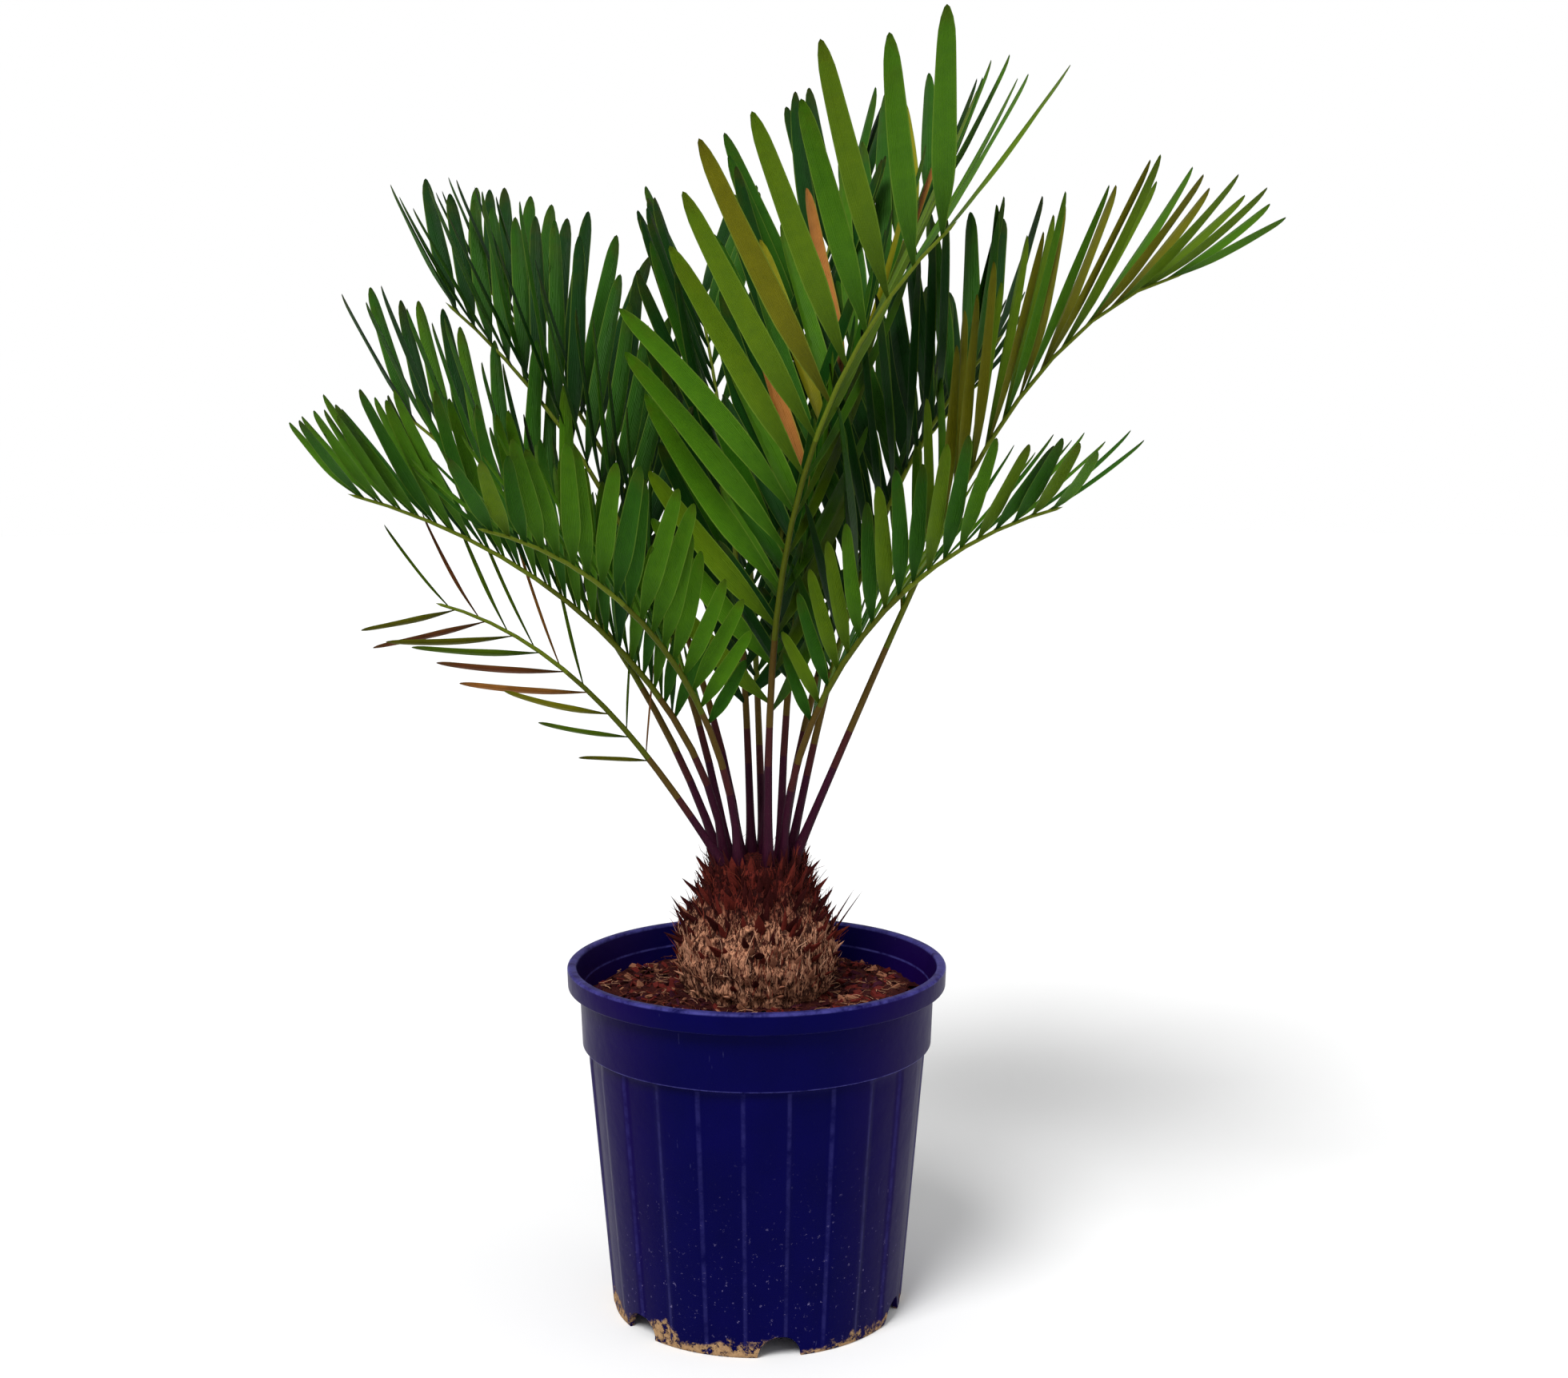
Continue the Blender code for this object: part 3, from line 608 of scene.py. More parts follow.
FINE_STUB_ROWS = (
    # height, stubs, length, lean, width
    (0.228, 14, 0.005, 60, 0.0050),
    (0.236, 16, 0.006, 55, 0.0055),
    (0.243, 18, 0.007, 50, 0.0055),
    (0.251, 20, 0.008, 45, 0.0055),
    (0.260, 22, 0.009, 40, 0.0055),
    (0.268, 22, 0.010, 38, 0.0055),
    (0.276, 22, 0.011, 34, 0.0055),
    (0.284, 22, 0.012, 30, 0.0055),
    (0.292, 22, 0.012, 26, 0.0050),
    (0.299, 22, 0.012, 22, 0.0050),
    (0.306, 22, 0.012, 18, 0.0045),
    (0.312, 22, 0.010, 12, 0.0040),
)
LONE_STUBS = (
    # compass direction, height, length, lean, width
    (-12, 0.262, 0.034, 28, 0.0030),
    (-4, 0.258, 0.036, 32, 0.0028),
    (-20, 0.276, 0.022, 30, 0.0060),
    (185, 0.268, 0.020, 30, 0.0060),
    (200, 0.262, 0.024, 26, 0.0050),
)
STUB_SEAT = 0.004
STUB_WIDTH = 0.0085
STUB_SIDES = 6
STUB_RINGS = 5
FINE_STUB_SEAT = 0.003
HAIRS = 1500
HAIR_KNOTS = 4
HAIR_LENGTHS = (0.004, 0.019)
DARK_FROM = 0.266
BARK_RIDGE = 0.0018
BARK_LUMP = 0.0026
BARK_GROOVE = 0.0012
BARK_PIT = 0.0085


def caudex_radius(height):
    """The stem's radius at a height, from its outline."""
    for (low_radius, low), (high_radius, high) in zip(CAUDEX_OUTLINE, CAUDEX_OUTLINE[1:]):
        if low <= height <= high:
            share = (height - low) / (high - low)
            return low_radius + (high_radius - low_radius) * share
    return CAUDEX_OUTLINE[-1][0] if height > CAUDEX_TOP - 0.002 else CAUDEX_OUTLINE[0][0]


def barked(point):
    """Ridges that run up the stem, lumps between them and pits in the lumps."""
    radius = math.hypot(point.x, point.y)
    if radius < 0.012:
        return point
    upward = Vector((point.x, point.y, point.z * 0.35))
    relief = noise.noise(upward * 240) * BARK_RIDGE + noise.noise(point * 85) * BARK_LUMP
    relief += noise.noise(Vector((point.x, point.y, point.z * 0.15)) * 560) * BARK_GROOVE
    pit = noise.noise(Vector((point.x, point.y, point.z * 0.6)) * 130 + Vector((3, 5, 7)))
    relief -= BARK_PIT * max(0.0, pit - 0.22)
    grown = (radius + relief - 0.0006) / radius
    return Vector((point.x * grown, point.y * grown, point.z))


caudex_bottom = SOIL_LEVEL - 0.004
caudex_profile = [(0.0, CAUDEX_TOP - 0.001), (0.012, CAUDEX_TOP - 0.001), (0.024, CAUDEX_TOP - 0.001)]
for ring in range(CAUDEX_RINGS + 1):
    height = CAUDEX_TOP - 0.002 - (CAUDEX_TOP - 0.002 - caudex_bottom) * ring / CAUDEX_RINGS
    caudex_profile.append((caudex_radius(height), height))
caudex_profile += [(0.012, caudex_bottom), (0.0, caudex_bottom)]

bark, bark_shader, bark_place = new_finish("corky stem")
bark_height = bark_place.part(2)
bark_strands = bark_place.stretched(1, 1, 0.30).noise(620, 5, 0.7)
# Painted shade: the pits, pressed in by the bump, are also darkened in colour
bark_shaded_pits = bark_place.stretched(1, 1, 0.6).noise(190, 4, 0.65).above(0.555, 0.035)
bark_dark = (bark_height + (bark_place.noise(60, 3) - 0.5) * 0.05).above(0.283, 0.014)
bark_contrast = bark_strands.above(0.50, 0.13)
bark_pale = bark_contrast.mix((0.048, 0.0070, 0.0060), (0.66, 0.31, 0.18))
bark_top = bark_contrast.mix((0.014, 0.0010, 0.0020), (0.15, 0.020, 0.013))
bark_colour = bark_dark.mix(bark_pale, bark_top)
feed(bark_shader, {
    "Base Color": (bark_shaded_pits * 0.9).mix(bark_colour, (0.022, 0.004, 0.004)),
    "Roughness": 0.80,
    "Specular IOR Level": 0.08},
    bark_strands - bark_shaded_pits * 0.5, 0.0016)
new_piece("caudex_stem", turned_mesh("caudex_stem", caudex_profile, CAUDEX_STEPS, barked), [bark],
          "caudex", "caudex", sharp=70)


def bark_shade(draw, height, low, high):
    """Pick a slot from the low list or the high list, by height on the stem with a ragged border."""
    return draw.choice(high if height + draw.gauss(0, 0.006) > DARK_FROM else low)


def leaning(turn, tilt):
    """The unit direction that leans out from upright by the tilt, towards the turn."""
    return around(turn, math.sin(tilt), math.cos(tilt))


def stub_shape(draw, foot, tip, width):
    """A flattened, pointed leaf base of six sides, a little bent and torn towards its tip."""
    axis = tip - foot
    turn = axis.to_track_quat("Z", "Y").to_matrix()
    bend = Vector((draw.uniform(-1, 1), draw.uniform(-1, 1), 0.4)) * axis.length * 0.08
    points = []
    for ring in range(STUB_RINGS):
        share = ring / STUB_RINGS
        centre = foot + axis * share + bend * share * share
        for corner in range(STUB_SIDES):
            local = around(FULL_TURN * corner / STUB_SIDES, width / 2 * (1 - share ** 1.6), 0.0)
            local.y *= 0.6
            local *= draw.uniform(0.85, 1.15)
            points.append(centre + turn @ local)
    points.append(tip + bend)
    faces = [tuple(reversed(range(STUB_SIDES)))]
    for ring in range(STUB_RINGS - 1):
        faces += band_faces(ring * STUB_SIDES, STUB_SIDES)
    top = (STUB_RINGS - 1) * STUB_SIDES
    faces += [(top + corner, top + (corner + 1) % STUB_SIDES, top + STUB_SIDES)
              for corner in range(STUB_SIDES)]
    return points, faces


stubs = ([], [], [])
stub_draw = random.Random(7)
for row, (height, count, length, lean) in enumerate(STUB_ROWS):
    for index in range(count):
        turn = (index + 0.5 * (row % 2) + stub_draw.uniform(-0.2, 0.2)) / count * FULL_TURN
        out = leaning(turn, math.radians(lean + stub_draw.uniform(-8, 8)))
        seat = around(turn, caudex_radius(height) - STUB_SEAT, height)
        reach = length * stub_draw.uniform(0.8, 1.3)
        add_shape(stubs, *stub_shape(scatter, seat, seat + out * (STUB_SEAT + reach), STUB_WIDTH),
                  scatter.choice((0, 0, 1)))
for height, count, length, lean, width in FINE_STUB_ROWS:
    for index in range(count):
        turn = (index + scatter.uniform(-0.4, 0.4)) / count * FULL_TURN
        seat_height = height + scatter.uniform(-0.004, 0.003)
        out = leaning(turn, math.radians(lean + scatter.uniform(-14, 14)))
        seat = around(turn, caudex_radius(seat_height) - FINE_STUB_SEAT, seat_height)
        reach = length * scatter.uniform(0.6, 1.3)
        add_shape(stubs, *stub_shape(scatter, seat, seat + out * (FINE_STUB_SEAT + reach), width),
                  bark_shade(scatter, seat_height, (0, 1, 2, 2, 3), (0, 0, 0, 1, 1)))
for compass, height, length, lean, width in LONE_STUBS:
    turn = math.radians(compass)
    seat = around(turn, caudex_radius(height) - STUB_SEAT, height)
    tip = seat + leaning(turn, math.radians(lean)) * (STUB_SEAT + length)
    add_shape(stubs, *stub_shape(scatter, seat, tip, width), 0)
new_piece("leaf_base_stubs", mesh_of("leaf_base_stubs", stubs), [
    crumb_finish("dark leaf base", (0.010, 0.0010, 0.0015), (0.065, 0.008, 0.007), 900),
    crumb_finish("red leaf base", (0.038, 0.0030, 0.0030), (0.17, 0.024, 0.015), 900),
    crumb_finish("pale leaf base", (0.11, 0.028, 0.016), (0.50, 0.22, 0.13), 900),
    crumb_finish("corky leaf base", (0.34, 0.13, 0.075), (0.74, 0.40, 0.25), 900),
], "caudex", sharp=50)

hairs = ([], [], [])
for _ in range(HAIRS):
    hair_turn = scatter.uniform(0, FULL_TURN)
    hair_height = scatter.uniform(0.228, CAUDEX_TOP - 0.002)
    hair_out = leaning(hair_turn + scatter.gauss(0, 0.6), math.radians(scatter.uniform(-10, 24)))
    hair_at = around(hair_turn, caudex_radius(hair_height) - 0.0005, hair_height)
    hair_reach = scatter.uniform(*HAIR_LENGTHS) / HAIR_KNOTS
    hair_route = [hair_at]
    for _ in range(HAIR_KNOTS):
        hair_out = (hair_out + Vector([scatter.gauss(0, 0.22) for _ in range(3)])).normalized()
        hair_at = hair_at + hair_out * hair_reach
        hair_route.append(hair_at)
    add_shape(hairs, *strand_shape(hair_route, 0.00042, 0.00010),
              bark_shade(scatter, hair_height, (0, 0, 1, 2, 2), (0, 0, 0, 1)))
new_piece("stem_fibres", mesh_of("stem_fibres", hairs), [
    crumb_finish("dark stem fibre", (0.012, 0.0012, 0.0018), (0.060, 0.009, 0.008)),
    crumb_finish("rust stem fibre", (0.080, 0.0090, 0.0060), (0.24, 0.050, 0.028)),
    crumb_finish("pale stem fibre", (0.36, 0.15, 0.09), (0.74, 0.43, 0.28)),
], "caudex", sharp=60)


# Fronds: fifteen stiff feather leaves that rise from the crown and lean out on all sides. Each is a
# round stalk, dark purple at its foot, that runs on as the rib between two rows of leaflets.
GAP = 0.0003
LEAFLET_CLEARANCE = 0.0006
LEAFLET_SLENDERNESS = 85
LEAFLET_WIDTH = 0.017
FROND_SEED = 20
RIB_STEPS = 14
STALK_RADIUS = 0.0032
RIB_TIP_RADIUS = 0.0010
LEAFLET_STATIONS = ((0.0, 0.10), (0.36, 1.0), (0.84, 0.78))
LEAFLET_CURL = 0.09
LEAFY_END = 0.985
ROOT_SHARE = 0.12
RIB_CLEARANCE = 1.2
CARRIED_ON = (
    # times as many pairs, and how much finer the leaflets are, frond by frond
    (1.00, 0.84), (1.20, 0.82), (1.10, 0.74), (1.30, 0.82), (1.00, 0.86),
    (1.35, 0.80), (1.25, 0.80), (1.00, 0.60), (1.10, 0.82), (1.15, 0.82),
    (1.15, 0.82), (1.20, 0.82), (1.20, 0.82), (1.20, 0.82), (1.25, 0.82),
)
# how far a leaflet's spread and lift stray in degrees, and its length as a share
LEAFLET_JITTER = ((-3, 3), (-5, 5), (0.93, 1.07))
# turns and folds in degrees that are tried one after another where a leaflet's place is taken
TRIES = ((0, 0), (6, 0), (-6, 0), (0, 9), (0, -9), (10, 8), (-10, -8), (12, -12), (-12, 12))


class Frond(NamedTuple):
    """One frond, as measured: lengths in metres, angles in degrees, shares of the rib's length."""
    at: tuple            # where its stalk stands on the crown, x and y
    heading: float       # compass direction it leans in, 0 along +X and 90 along +Y
    sweep: float         # how far that direction turns on the way to the tip
    rise: float          # slope of the stalk at its foot, 90 is upright
    droop: float         # slope of the rib at its tip
    ease: float          # 1 bends evenly, more keeps the bend for the tip
    length: float        # stalk and rib together
    bare: float          # share of that length with no leaflets
    pairs: int           # leaflets on each side
    leaf: float          # length of the longest leaflet
    spread: float        # angle from the rib of the lowest leaflets
    close: float         # angle from the rib of the last leaflets
    lift: float          # how far both rows fold up, out of the frond's plane
    roll: float          # how far the whole frond is turned about its rib
    last: float          # length of the last leaflets, as a share of the longest
    twist: float         # how far each blade is turned about its own middle line
    slender: float       # width of the leaflets, 1 is fresh and full


FRONDS = (
    Frond((0.008, -0.022), -80, 45, 90, 34, 1.2, 0.470, 0.22, 14, 0.165, 52, 46, 38, 0, 0.85, 10, 1.05),
    Frond((0.016, 0.004), 35, 0, 88, 50, 1.4, 0.484, 0.25, 15, 0.140, 46, 28, 35, 0, 0.75, 20, 0.95),
    Frond((0.026, -0.003), -12, 10, 67, 5, 4.0, 0.482, 0.38, 14, 0.135, 34, 20, 50, 0, 0.55, 20, 0.90),
    Frond((0.018, -0.011), -35, 0, 86, 12, 0.9, 0.345, 0.28, 14, 0.095, 50, 32, 38, 0, 0.70, 22, 0.90),
    Frond((0.023, 0.009), 12, 0, 78, 42, 2.0, 0.390, 0.32, 13, 0.150, 50, 40, 55, 0, 0.60, 20, 1.00),
    Frond((-0.022, -0.006), 197, 0, 82, 14, 0.75, 0.372, 0.28, 16, 0.115, 54, 36, 55, 0, 0.55, 28, 0.95),
    Frond((-0.012, -0.018), 225, 0, 84, 10, 0.9, 0.340, 0.30, 14, 0.095, 54, 38, 50, 0, 0.60, 25, 1.00),
    Frond((-0.024, -0.014), 190, 0, 57, 12, 2.0, 0.265, 0.32, 9, 0.095, 50, 36, 15, 70, 0.60, 60, 0.60),
    Frond((-0.026, 0.003), 165, 0, 70, 35, 0.9, 0.385, 0.36, 12, 0.130, 52, 32, 55, 0, 0.70, 25, 0.90),
    Frond((-0.020, 0.011), 155, 0, 78, 34, 1.2, 0.450, 0.34, 14, 0.135, 50, 32, 55, 0, 0.70, 25, 0.95),
    Frond((-0.012, 0.016), 143, 0, 80, 38, 0.8, 0.490, 0.34, 14, 0.130, 48, 32, 55, 0, 0.50, 22, 0.95),
    Frond((-0.004, 0.024), 107, 0, 84, 48, 1.4, 0.420, 0.24, 14, 0.140, 50, 32, 45, 0, 0.60, 20, 1.00),
    Frond((0.006, 0.018), 68, 0, 86, 50, 1.4, 0.480, 0.26, 14, 0.140, 46, 30, 48, 0, 0.70, 20, 0.95),
    Frond((0.017, 0.019), 48, 0, 76, 22, 1.3, 0.420, 0.28, 14, 0.125, 50, 32, 50, 0, 0.60, 22, 0.95),
    Frond((0.004, 0.028), 95, 0, 66, 8, 1.8, 0.370, 0.30, 14, 0.115, 50, 32, 50, 0, 0.60, 22, 0.95),
)

# Leaf colours, and how many parts of each are dealt out to the leaflets of each frond, painted sunlight and
# painted shade among them
LEAF_COLOURS = {
    "olive": ((0.050, 0.112, 0.0003), (0.115, 0.195, 0.0012)),
    # a lighter, yellower green: painted sunlight, dealt to the fronds on the sun's side
    "sunny": ((0.028, 0.108, 0.0006), (0.074, 0.195, 0.0020)),
    "green": ((0.010, 0.064, 0.0008), (0.030, 0.120, 0.0020)),
    # the darkest green: painted shade, dealt mostly to the fronds at the back
    "deep": ((0.002, 0.028, 0.0012), (0.008, 0.058, 0.0030)),
    "bronze": ((0.085, 0.090, 0.0003), (0.175, 0.165, 0.0020)),
    "tired": ((0.160, 0.170, 0.0020), (0.280, 0.250, 0.0060)),
    "rusty": ((0.260, 0.090, 0.0120), (0.480, 0.190, 0.0400)),
    "brown": ((0.110, 0.030, 0.0060), (0.220, 0.070, 0.0200)),
}
LEAF_NAMES = tuple(LEAF_COLOURS)
FROND_DEALS = (
    {"olive": 6, "sunny": 4, "bronze": 0.6},
    {"sunny": 3, "green": 5, "deep": 2, "tired": 1, "rusty": 0.6},
    {"bronze": 3, "olive": 5, "tired": 2, "sunny": 2},
    {"sunny": 3, "green": 6, "olive": 2},
    {"green": 5, "deep": 5},
    {"sunny": 5, "green": 4, "deep": 1},
    {"sunny": 6, "green": 3, "olive": 1},
    {"bronze": 3, "olive": 4, "brown": 1.5, "rusty": 2, "tired": 3},
    {"green": 6, "deep": 3, "sunny": 1},
    {"green": 5, "deep": 5},
    {"green": 4, "deep": 6},
    {"green": 2, "deep": 8},
    {"green": 3, "deep": 6, "tired": 0.5},
    {"green": 3, "deep": 7},
    {"green": 3, "deep": 7},
)


class Station(NamedTuple):
    """A place on the rib: its point, the way it runs, the frond's right-hand side and upper face."""
    point: Vector
    along: Vector
    side: Vector
    face: Vector


def rib_stations(frond):
    """The rib from its foot on the crown to its tip, as evenly spaced stations."""
    point = Vector((*frond.at, CAUDEX_TOP + GAP))
    stations = []
    for index in range(RIB_STEPS + 1):
        share = index / RIB_STEPS
        heading = math.radians(frond.heading + frond.sweep * share)
        slope = math.radians(frond.rise + (frond.droop - frond.rise) * share ** frond.ease)
        flat = Vector((math.cos(heading), math.sin(heading), 0.0))
        along = flat * math.cos(slope) + Vector((0.0, 0.0, math.sin(slope)))
        side = Vector((math.sin(heading), -math.cos(heading), 0.0))
        turn = Matrix.Rotation(math.radians(frond.roll), 3, along)
        side = turn.inverted() @ side
        stations.append(Station(point.copy(), along, side, side.cross(along)))
        point = point + along * frond.length / RIB_STEPS
    return stations


def station_at(stations, share):
    """The place at a share of the rib's length, between two stations."""
    place = share * RIB_STEPS
    low = min(int(place), RIB_STEPS - 1)
    mix = place - low
    return Station(*(a.lerp(b, mix) for a, b in zip(stations[low], stations[low + 1])))


def rib_radius(share):
    return STALK_RADIUS + (RIB_TIP_RADIUS - STALK_RADIUS) * share ** 0.7


def leaflet_length(frond, share):
    """Leaflets are shorter at both ends of the leafy part than in its middle."""
    if share < 0.5:
        return frond.leaf * (0.55 + 0.45 * math.sin(math.pi * share))
    return frond.leaf * (frond.last + (1 - frond.last) * math.sin(math.pi * share))


class Leaflet(NamedTuple):
    """One blade: its root, the way it points, the way its width runs, its upper face and its size."""
    root: Vector
    out: Vector
    across: Vector
    face: Vector
    length: float
    width: float

    def middle(self, share):
        """A point of the middle line, which curls up towards the light."""
        rise = LEAFLET_CURL * self.length * share ** 2
        return self.root + self.out * self.length * share + Vector((0.0, 0.0, rise))


def place_leaflet(frond, stations, row, side, jitter, turn, fold):
    """The leaflet of one row, turned by some degrees from its place where that is taken."""
    share = (row + 0.25 * (side > 0)) / (frond.pairs - 0.5)
    here = station_at(stations, frond.bare + (LEAFY_END - frond.bare) * share)
    spread = math.radians(frond.spread + (frond.close - frond.spread) * share + jitter[0] + turn)
    lift = math.radians(frond.lift + jitter[1] + fold)
    sideways = here.side * (side * math.cos(lift)) + here.face * math.sin(lift)
    out = (here.along * math.cos(spread) + sideways * math.sin(spread)).normalized()
    across = (here.along - out * here.along.dot(out)).normalized()
    across = Matrix.Rotation(math.radians(frond.twist) * side, 3, out) @ across
    face = across.cross(out) * side
    length = leaflet_length(frond, share) * jitter[2]
    width = LEAFLET_WIDTH * frond.slender * min(1.0, length / 0.11) ** 0.5
    return Leaflet(here.point, out, across.normalized(), face.normalized(), length, width)


def plain_rings(leaflet, start=0.0):
    """The solid blade's three-cornered sections, from the share where they start."""
    keel = leaflet.length / LEAFLET_SLENDERNESS
    root_breadth = LEAFLET_STATIONS[0][1] + 2 * start
    rings = []
    for share, breadth in LEAFLET_STATIONS:
        middle = leaflet.middle(max(share, start))
        fullness = max(breadth, root_breadth)
        half = leaflet.across * (leaflet.width * fullness / 2)
        rings.append((middle + half, middle - half, middle - leaflet.face * keel * min(1.0, 5 * fullness)))
    return rings


def loft(rings, tip):
    """Vertices and faces of a closed loft through sections of equal count, ending in a point."""
    count = len(rings[0])
    points = [corner for ring in rings for corner in ring] + [tip]
    faces = [tuple(range(count))]
    for ring in range(len(rings) - 1):
        faces += band_faces(ring * count, count)
    last = (len(rings) - 1) * count
    faces += [(last + corner, last + (corner + 1) % count, len(points) - 1) for corner in range(count)]
    return points, faces


def plain_leaflet(leaflet, start=0.0):
    """The solid blade, which keeps clear of its neighbours."""
    return loft(plain_rings(leaflet, start), leaflet.middle(1.0))


def plain_rib(stations, swell):
    """The solid four-sided stalk and rib, made thicker by the swell to leave room round it."""
    points = []
    faces = [(3, 2, 1, 0)]
    for index, here in enumerate(stations):
        radius = rib_radius(index / RIB_STEPS) * swell
        across = here.side.normalized() * radius
        upward = here.face.normalized() * radius
        points += [here.point + across, here.point + upward, here.point - across, here.point - upward]
    for ring in range(len(stations) - 1):
        faces += band_faces(ring * 4, 4)
    last = len(points) - 4
    faces.append((last, last + 1, last + 2, last + 3))
    return points, faces


def tree_of(shapes):
    """One search tree over several meshes, each a pair of points and faces."""
    points = []
    faces = []
    for shape_points, shape_faces in shapes:
        shift = len(points)
        points += shape_points
        faces += [tuple(corner + shift for corner in face) for face in shape_faces]
    return BVHTree.FromPolygons(points, faces, epsilon=LEAFLET_CLEARANCE)


def grow_leaflets(fronds, all_stations, ribs):
    """Every frond's leaflets, each placed clear of the other fronds' ribs, of the earlier fronds' leaflets
    and, beyond its root, of the last two on each side of its own frond.
    """
    grown = []
    earlier = []
    for index, frond in enumerate(fronds):
        draw = random.Random(FROND_SEED + index)
        others = tree_of(ribs[:index] + ribs[index + 1:] + earlier)
        blades = {-1: [], 1: []}
        kept = []
        for row in range(frond.pairs):
            for side in (-1, 1):
                jitter = [draw.uniform(low, high) for low, high in LEAFLET_JITTER]
                neighbours = blades[side][-2:] + blades[-side][-2:]
                for turn, fold in TRIES:
                    leaflet = place_leaflet(frond, all_stations[index], row, side, jitter, turn, fold)
                    blade = tree_of([plain_leaflet(leaflet, ROOT_SHARE)])
                    crowded = any(blade.overlap(neighbour) for neighbour in neighbours)
                    if not crowded and not tree_of([plain_leaflet(leaflet)]).overlap(others):
                        blades[side].append(blade)
                        kept.append(leaflet)
                        break
        earlier += [plain_leaflet(leaflet) for leaflet in kept]
        grown.append(kept)
    return grown


# Stalks and ribs: round and smooth, thick and dark purple where they leave the crown, then olive brown,
# and green where the leaflets begin.
STALK_SIDES = 10
STALK_FINER = 5
STALK_SINK = 0.006
STALK_SWELL = 0.55
STALK_SWELL_SHARE = 0.025
STALK_COLOURS = (
    # name, share of the rib where it ends, darkest and lightest colour
    ("purple stalk", 0.13, (0.010, 0.0006, 0.006), (0.044, 0.0040, 0.018)),
    ("plum stalk", 0.20, (0.022, 0.0040, 0.005), (0.070, 0.0140, 0.014)),
    ("olive stalk", 0.32, (0.046, 0.0260, 0.003), (0.100, 0.0600, 0.010)),
    ("green stalk", 0.62, (0.040, 0.0560, 0.002), (0.090, 0.1050, 0.006)),
    ("pale rib", 1.01, (0.070, 0.1000, 0.004), (0.140, 0.1800, 0.012)),
)


def stalk_finish(name, dark, light):
    """Smooth skin with fine streaks along the stalk and pale scurf on it."""
    made, shader, place = new_finish(name)
    streaks = place.stretched(1, 1, 0.10).noise(900, 3, 0.6)
    scurf = place.noise(1400, 3, 0.7).above(0.66, 0.04)
    colour = streaks.mix(dark, light)
    feed(shader, {
        "Base Color": (scurf * 0.25).mix(colour, (0.24, 0.16, 0.09)),
        "Roughness": 0.42 + streaks * 0.15,
        "Specular IOR Level": 0.08},
        streaks, 0.0003)
    return made


def stalk_share_radius(share):
    """The stalk swells over the last two centimetres above its foot."""
    return rib_radius(share) * (1.0 + STALK_SWELL * math.exp(-share / STALK_SWELL_SHARE))


def add_stalk(store, stations):
    """A smooth round tube along the stations, sunk into the crown, ending in a point."""
    steps = RIB_STEPS * STALK_FINER
    foot = stations[0].point - stations[0].along * STALK_SINK
    rings = []
    for step in range(-1, steps):
        share = max(0, step) / steps
        here = station_at(stations, share)
        centre = foot if step < 0 else here.point
        radius = stalk_share_radius(share)
        side = here.side.normalized()
        upward = here.face.normalized()
        rings.append([centre + (side * math.cos(turn) + upward * math.sin(turn)) * radius
                      for turn in (FULL_TURN * corner / STALK_SIDES for corner in range(STALK_SIDES))])
    points, faces = loft(rings, stations[-1].point)
    shades = []
    for face in faces:
        share = max(0.0, (min(face) // STALK_SIDES - 1) / steps)
        shades.append(next(index for index, shade in enumerate(STALK_COLOURS) if share < shade[1]))
    add_shape(store, points, faces, shades)


all_stations = [rib_stations(frond) for frond in FRONDS]
finer_fronds = [frond._replace(pairs=round(frond.pairs * more), slender=frond.slender * finer)
                for frond, (more, finer) in zip(FRONDS, CARRIED_ON)]
solid_ribs = [plain_rib(stations, RIB_CLEARANCE) for stations in all_stations]
grown_leaflets = grow_leaflets(finer_fronds, all_stations, solid_ribs)
stalks = ([], [], [])
for stations in all_stations:
    add_stalk(stalks, stations)
new_piece("stalks_and_ribs", mesh_of("stalks_and_ribs", stalks),
          [stalk_finish(name, dark, light) for name, _, dark, light in STALK_COLOURS], "frond", sharp=60)


# Leaflets: stiff leathery blades, narrow at the root, widest in the middle and blunt at the tip, with a
# shallow fold along the middle, fine veins that run their whole length, and a thin pale edge that is a
# painted highlight.
DEAL_SEED = 200
BLADE_RINGS = 15
BLADE_CROWDING = 1.35
BLADE_PLACES = (1.0, 0.5, 0.0, -0.5, -1.0)
BLADE_FOLD = 0.16
BLADE_THICKNESS = 0.00045
BLADE_VEINS = 15


def blade_breadth(share):
    """The blade's width at a share of its length, where 1 is its widest."""
    root = 0.12 + 0.88 * math.sin(min(1.0, share / 0.42) * math.pi / 2) ** 1.2
    taper = 1.0 - 0.42 * max(0.0, (share - 0.40) / 0.60) ** 1.6
    tip = math.sqrt(max(0.0, 1.0 - max(0.0, (share - 0.87) / 0.13) ** 2.0))
    return root * taper * tip


def blade_shape(leaflet, draw):
    """Rings of six points: the upper face's edge, quarter, fold, quarter and edge, and the keel."""
    bend = draw.gauss(0.010, 0.045) * leaflet.length
    droop = draw.uniform(-0.02, 0.04) * leaflet.length
    ripple = draw.uniform(0, FULL_TURN)
    rings = []
    for ring in range(BLADE_RINGS):
        share = 1.0 - (1.0 - ring / (BLADE_RINGS - 0.55)) ** BLADE_CROWDING
        middle = leaflet.middle(share) + leaflet.across * (bend * share * share)
        middle -= Vector((0.0, 0.0, droop * share ** 3))
        half = leaflet.width * blade_breadth(share) / 2
        fold = half * BLADE_FOLD * 2
        wave = math.sin(share * 7 + ripple) * half * 0.06
        thick = BLADE_THICKNESS * (1.2 - share)
        points = []
        heights = (fold + wave, fold * 0.35, 0.0, fold * 0.35, fold - wave)
        for place, height in zip(BLADE_PLACES, heights):
            points.append(middle + leaflet.across * (half * place) + leaflet.face * height)
        points.append(middle - leaflet.face * thick)
        rings.append(points)
    tip = leaflet.middle(1.0) + leaflet.across * bend - Vector((0.0, 0.0, droop))
    return loft(rings, tip)


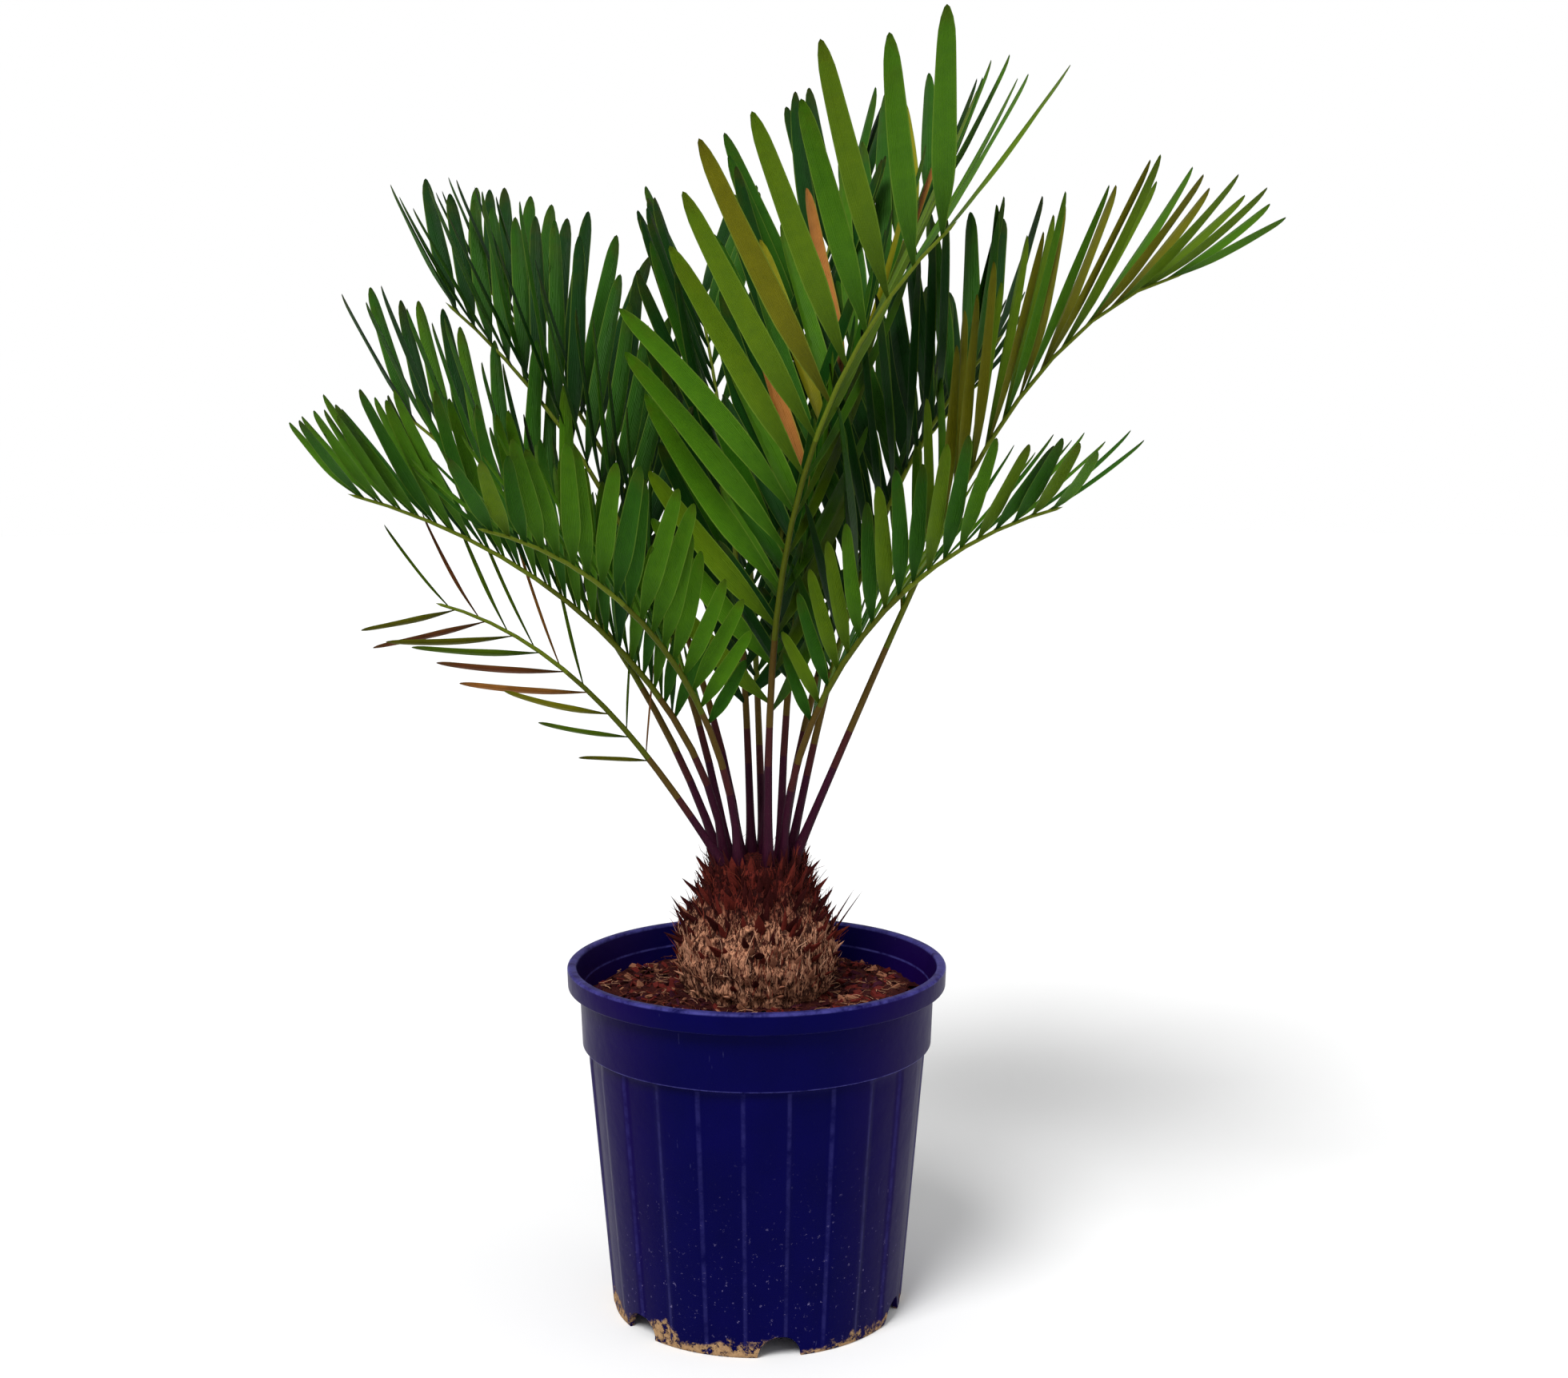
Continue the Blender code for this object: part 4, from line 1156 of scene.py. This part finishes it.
def leaf_finish(name, dark, light):
    """Leathery green: fine veins along the blade, soft mottling, painted shade towards the root and a paler
    edge that is a painted highlight.
    """
    made, shader, place = new_finish(name)
    blade = place.node("ShaderNodeAttribute", {"attribute_name": "blade"}, output=1)
    across = blade.part(0)
    veins = place.math("SINE", across * (math.pi * BLADE_VEINS)) * 0.5 + 0.5
    mottle = place.noise(110, 4, 0.6)
    specks = place.noise(900, 3, 0.7).above(0.70, 0.03)
    # Painted highlight: a paler yellow-green along both edges of each blade
    painted_edge_highlight = place.math("ABSOLUTE", across).above(0.90, 0.06)
    colour = (mottle * 0.75 + veins * 0.25).mix(dark, light)
    # Painted shade: each blade darkens towards its root, next to the rib
    painted_root_shade = blade.part(1).below(0.16, 0.22)
    colour = (painted_root_shade * 0.55).mix(colour, (0.003, 0.022, 0.0008))
    tip_tint = blade.part(1).above(0.80, 0.28) * place.noise(60, 3).above(0.50, 0.12)
    colour = (tip_tint * 0.45).mix(colour, (0.075, 0.060, 0.001))
    colour = (painted_edge_highlight * 0.40).mix(colour, (0.17, 0.27, 0.03))
    colour = (specks * 0.20).mix(colour, (0.20, 0.15, 0.03))
    feed(shader, {
        "Base Color": colour,
        "Roughness": 0.40 + mottle * 0.16,
        "Specular IOR Level": 0.12},
        veins * 0.6 + mottle * 0.5, 0.00035)
    return made


leaf_finishes = [leaf_finish(f"{name} leaf", *colours) for name, colours in LEAF_COLOURS.items()]
for index, (leaflets, deal) in enumerate(zip(grown_leaflets, FROND_DEALS)):
    dealer = random.Random(DEAL_SEED + index)
    blades = ([], [], [])
    marks = []
    for leaflet in leaflets:
        points, faces = blade_shape(leaflet, dealer)
        shade = dealer.choices(list(deal), list(deal.values()))[0]
        add_shape(blades, points, faces, LEAF_NAMES.index(shade))
        for ring in range(BLADE_RINGS):
            marks += [(across, ring / BLADE_RINGS, 0.0) for across in (*BLADE_PLACES, 0.0)]
        marks.append((0.0, 1.0, 0.0))
    node = f"frond_{index + 1:02d}"
    mesh = mesh_of(f"{node}_leaflets", blades)
    attribute = mesh.attributes.new("blade", "FLOAT_VECTOR", "POINT")
    attribute.data.foreach_set("vector", [value for mark in marks for value in mark])
    new_piece(f"{node}_leaflets", mesh, leaf_finishes, "frond", node, sharp=75)
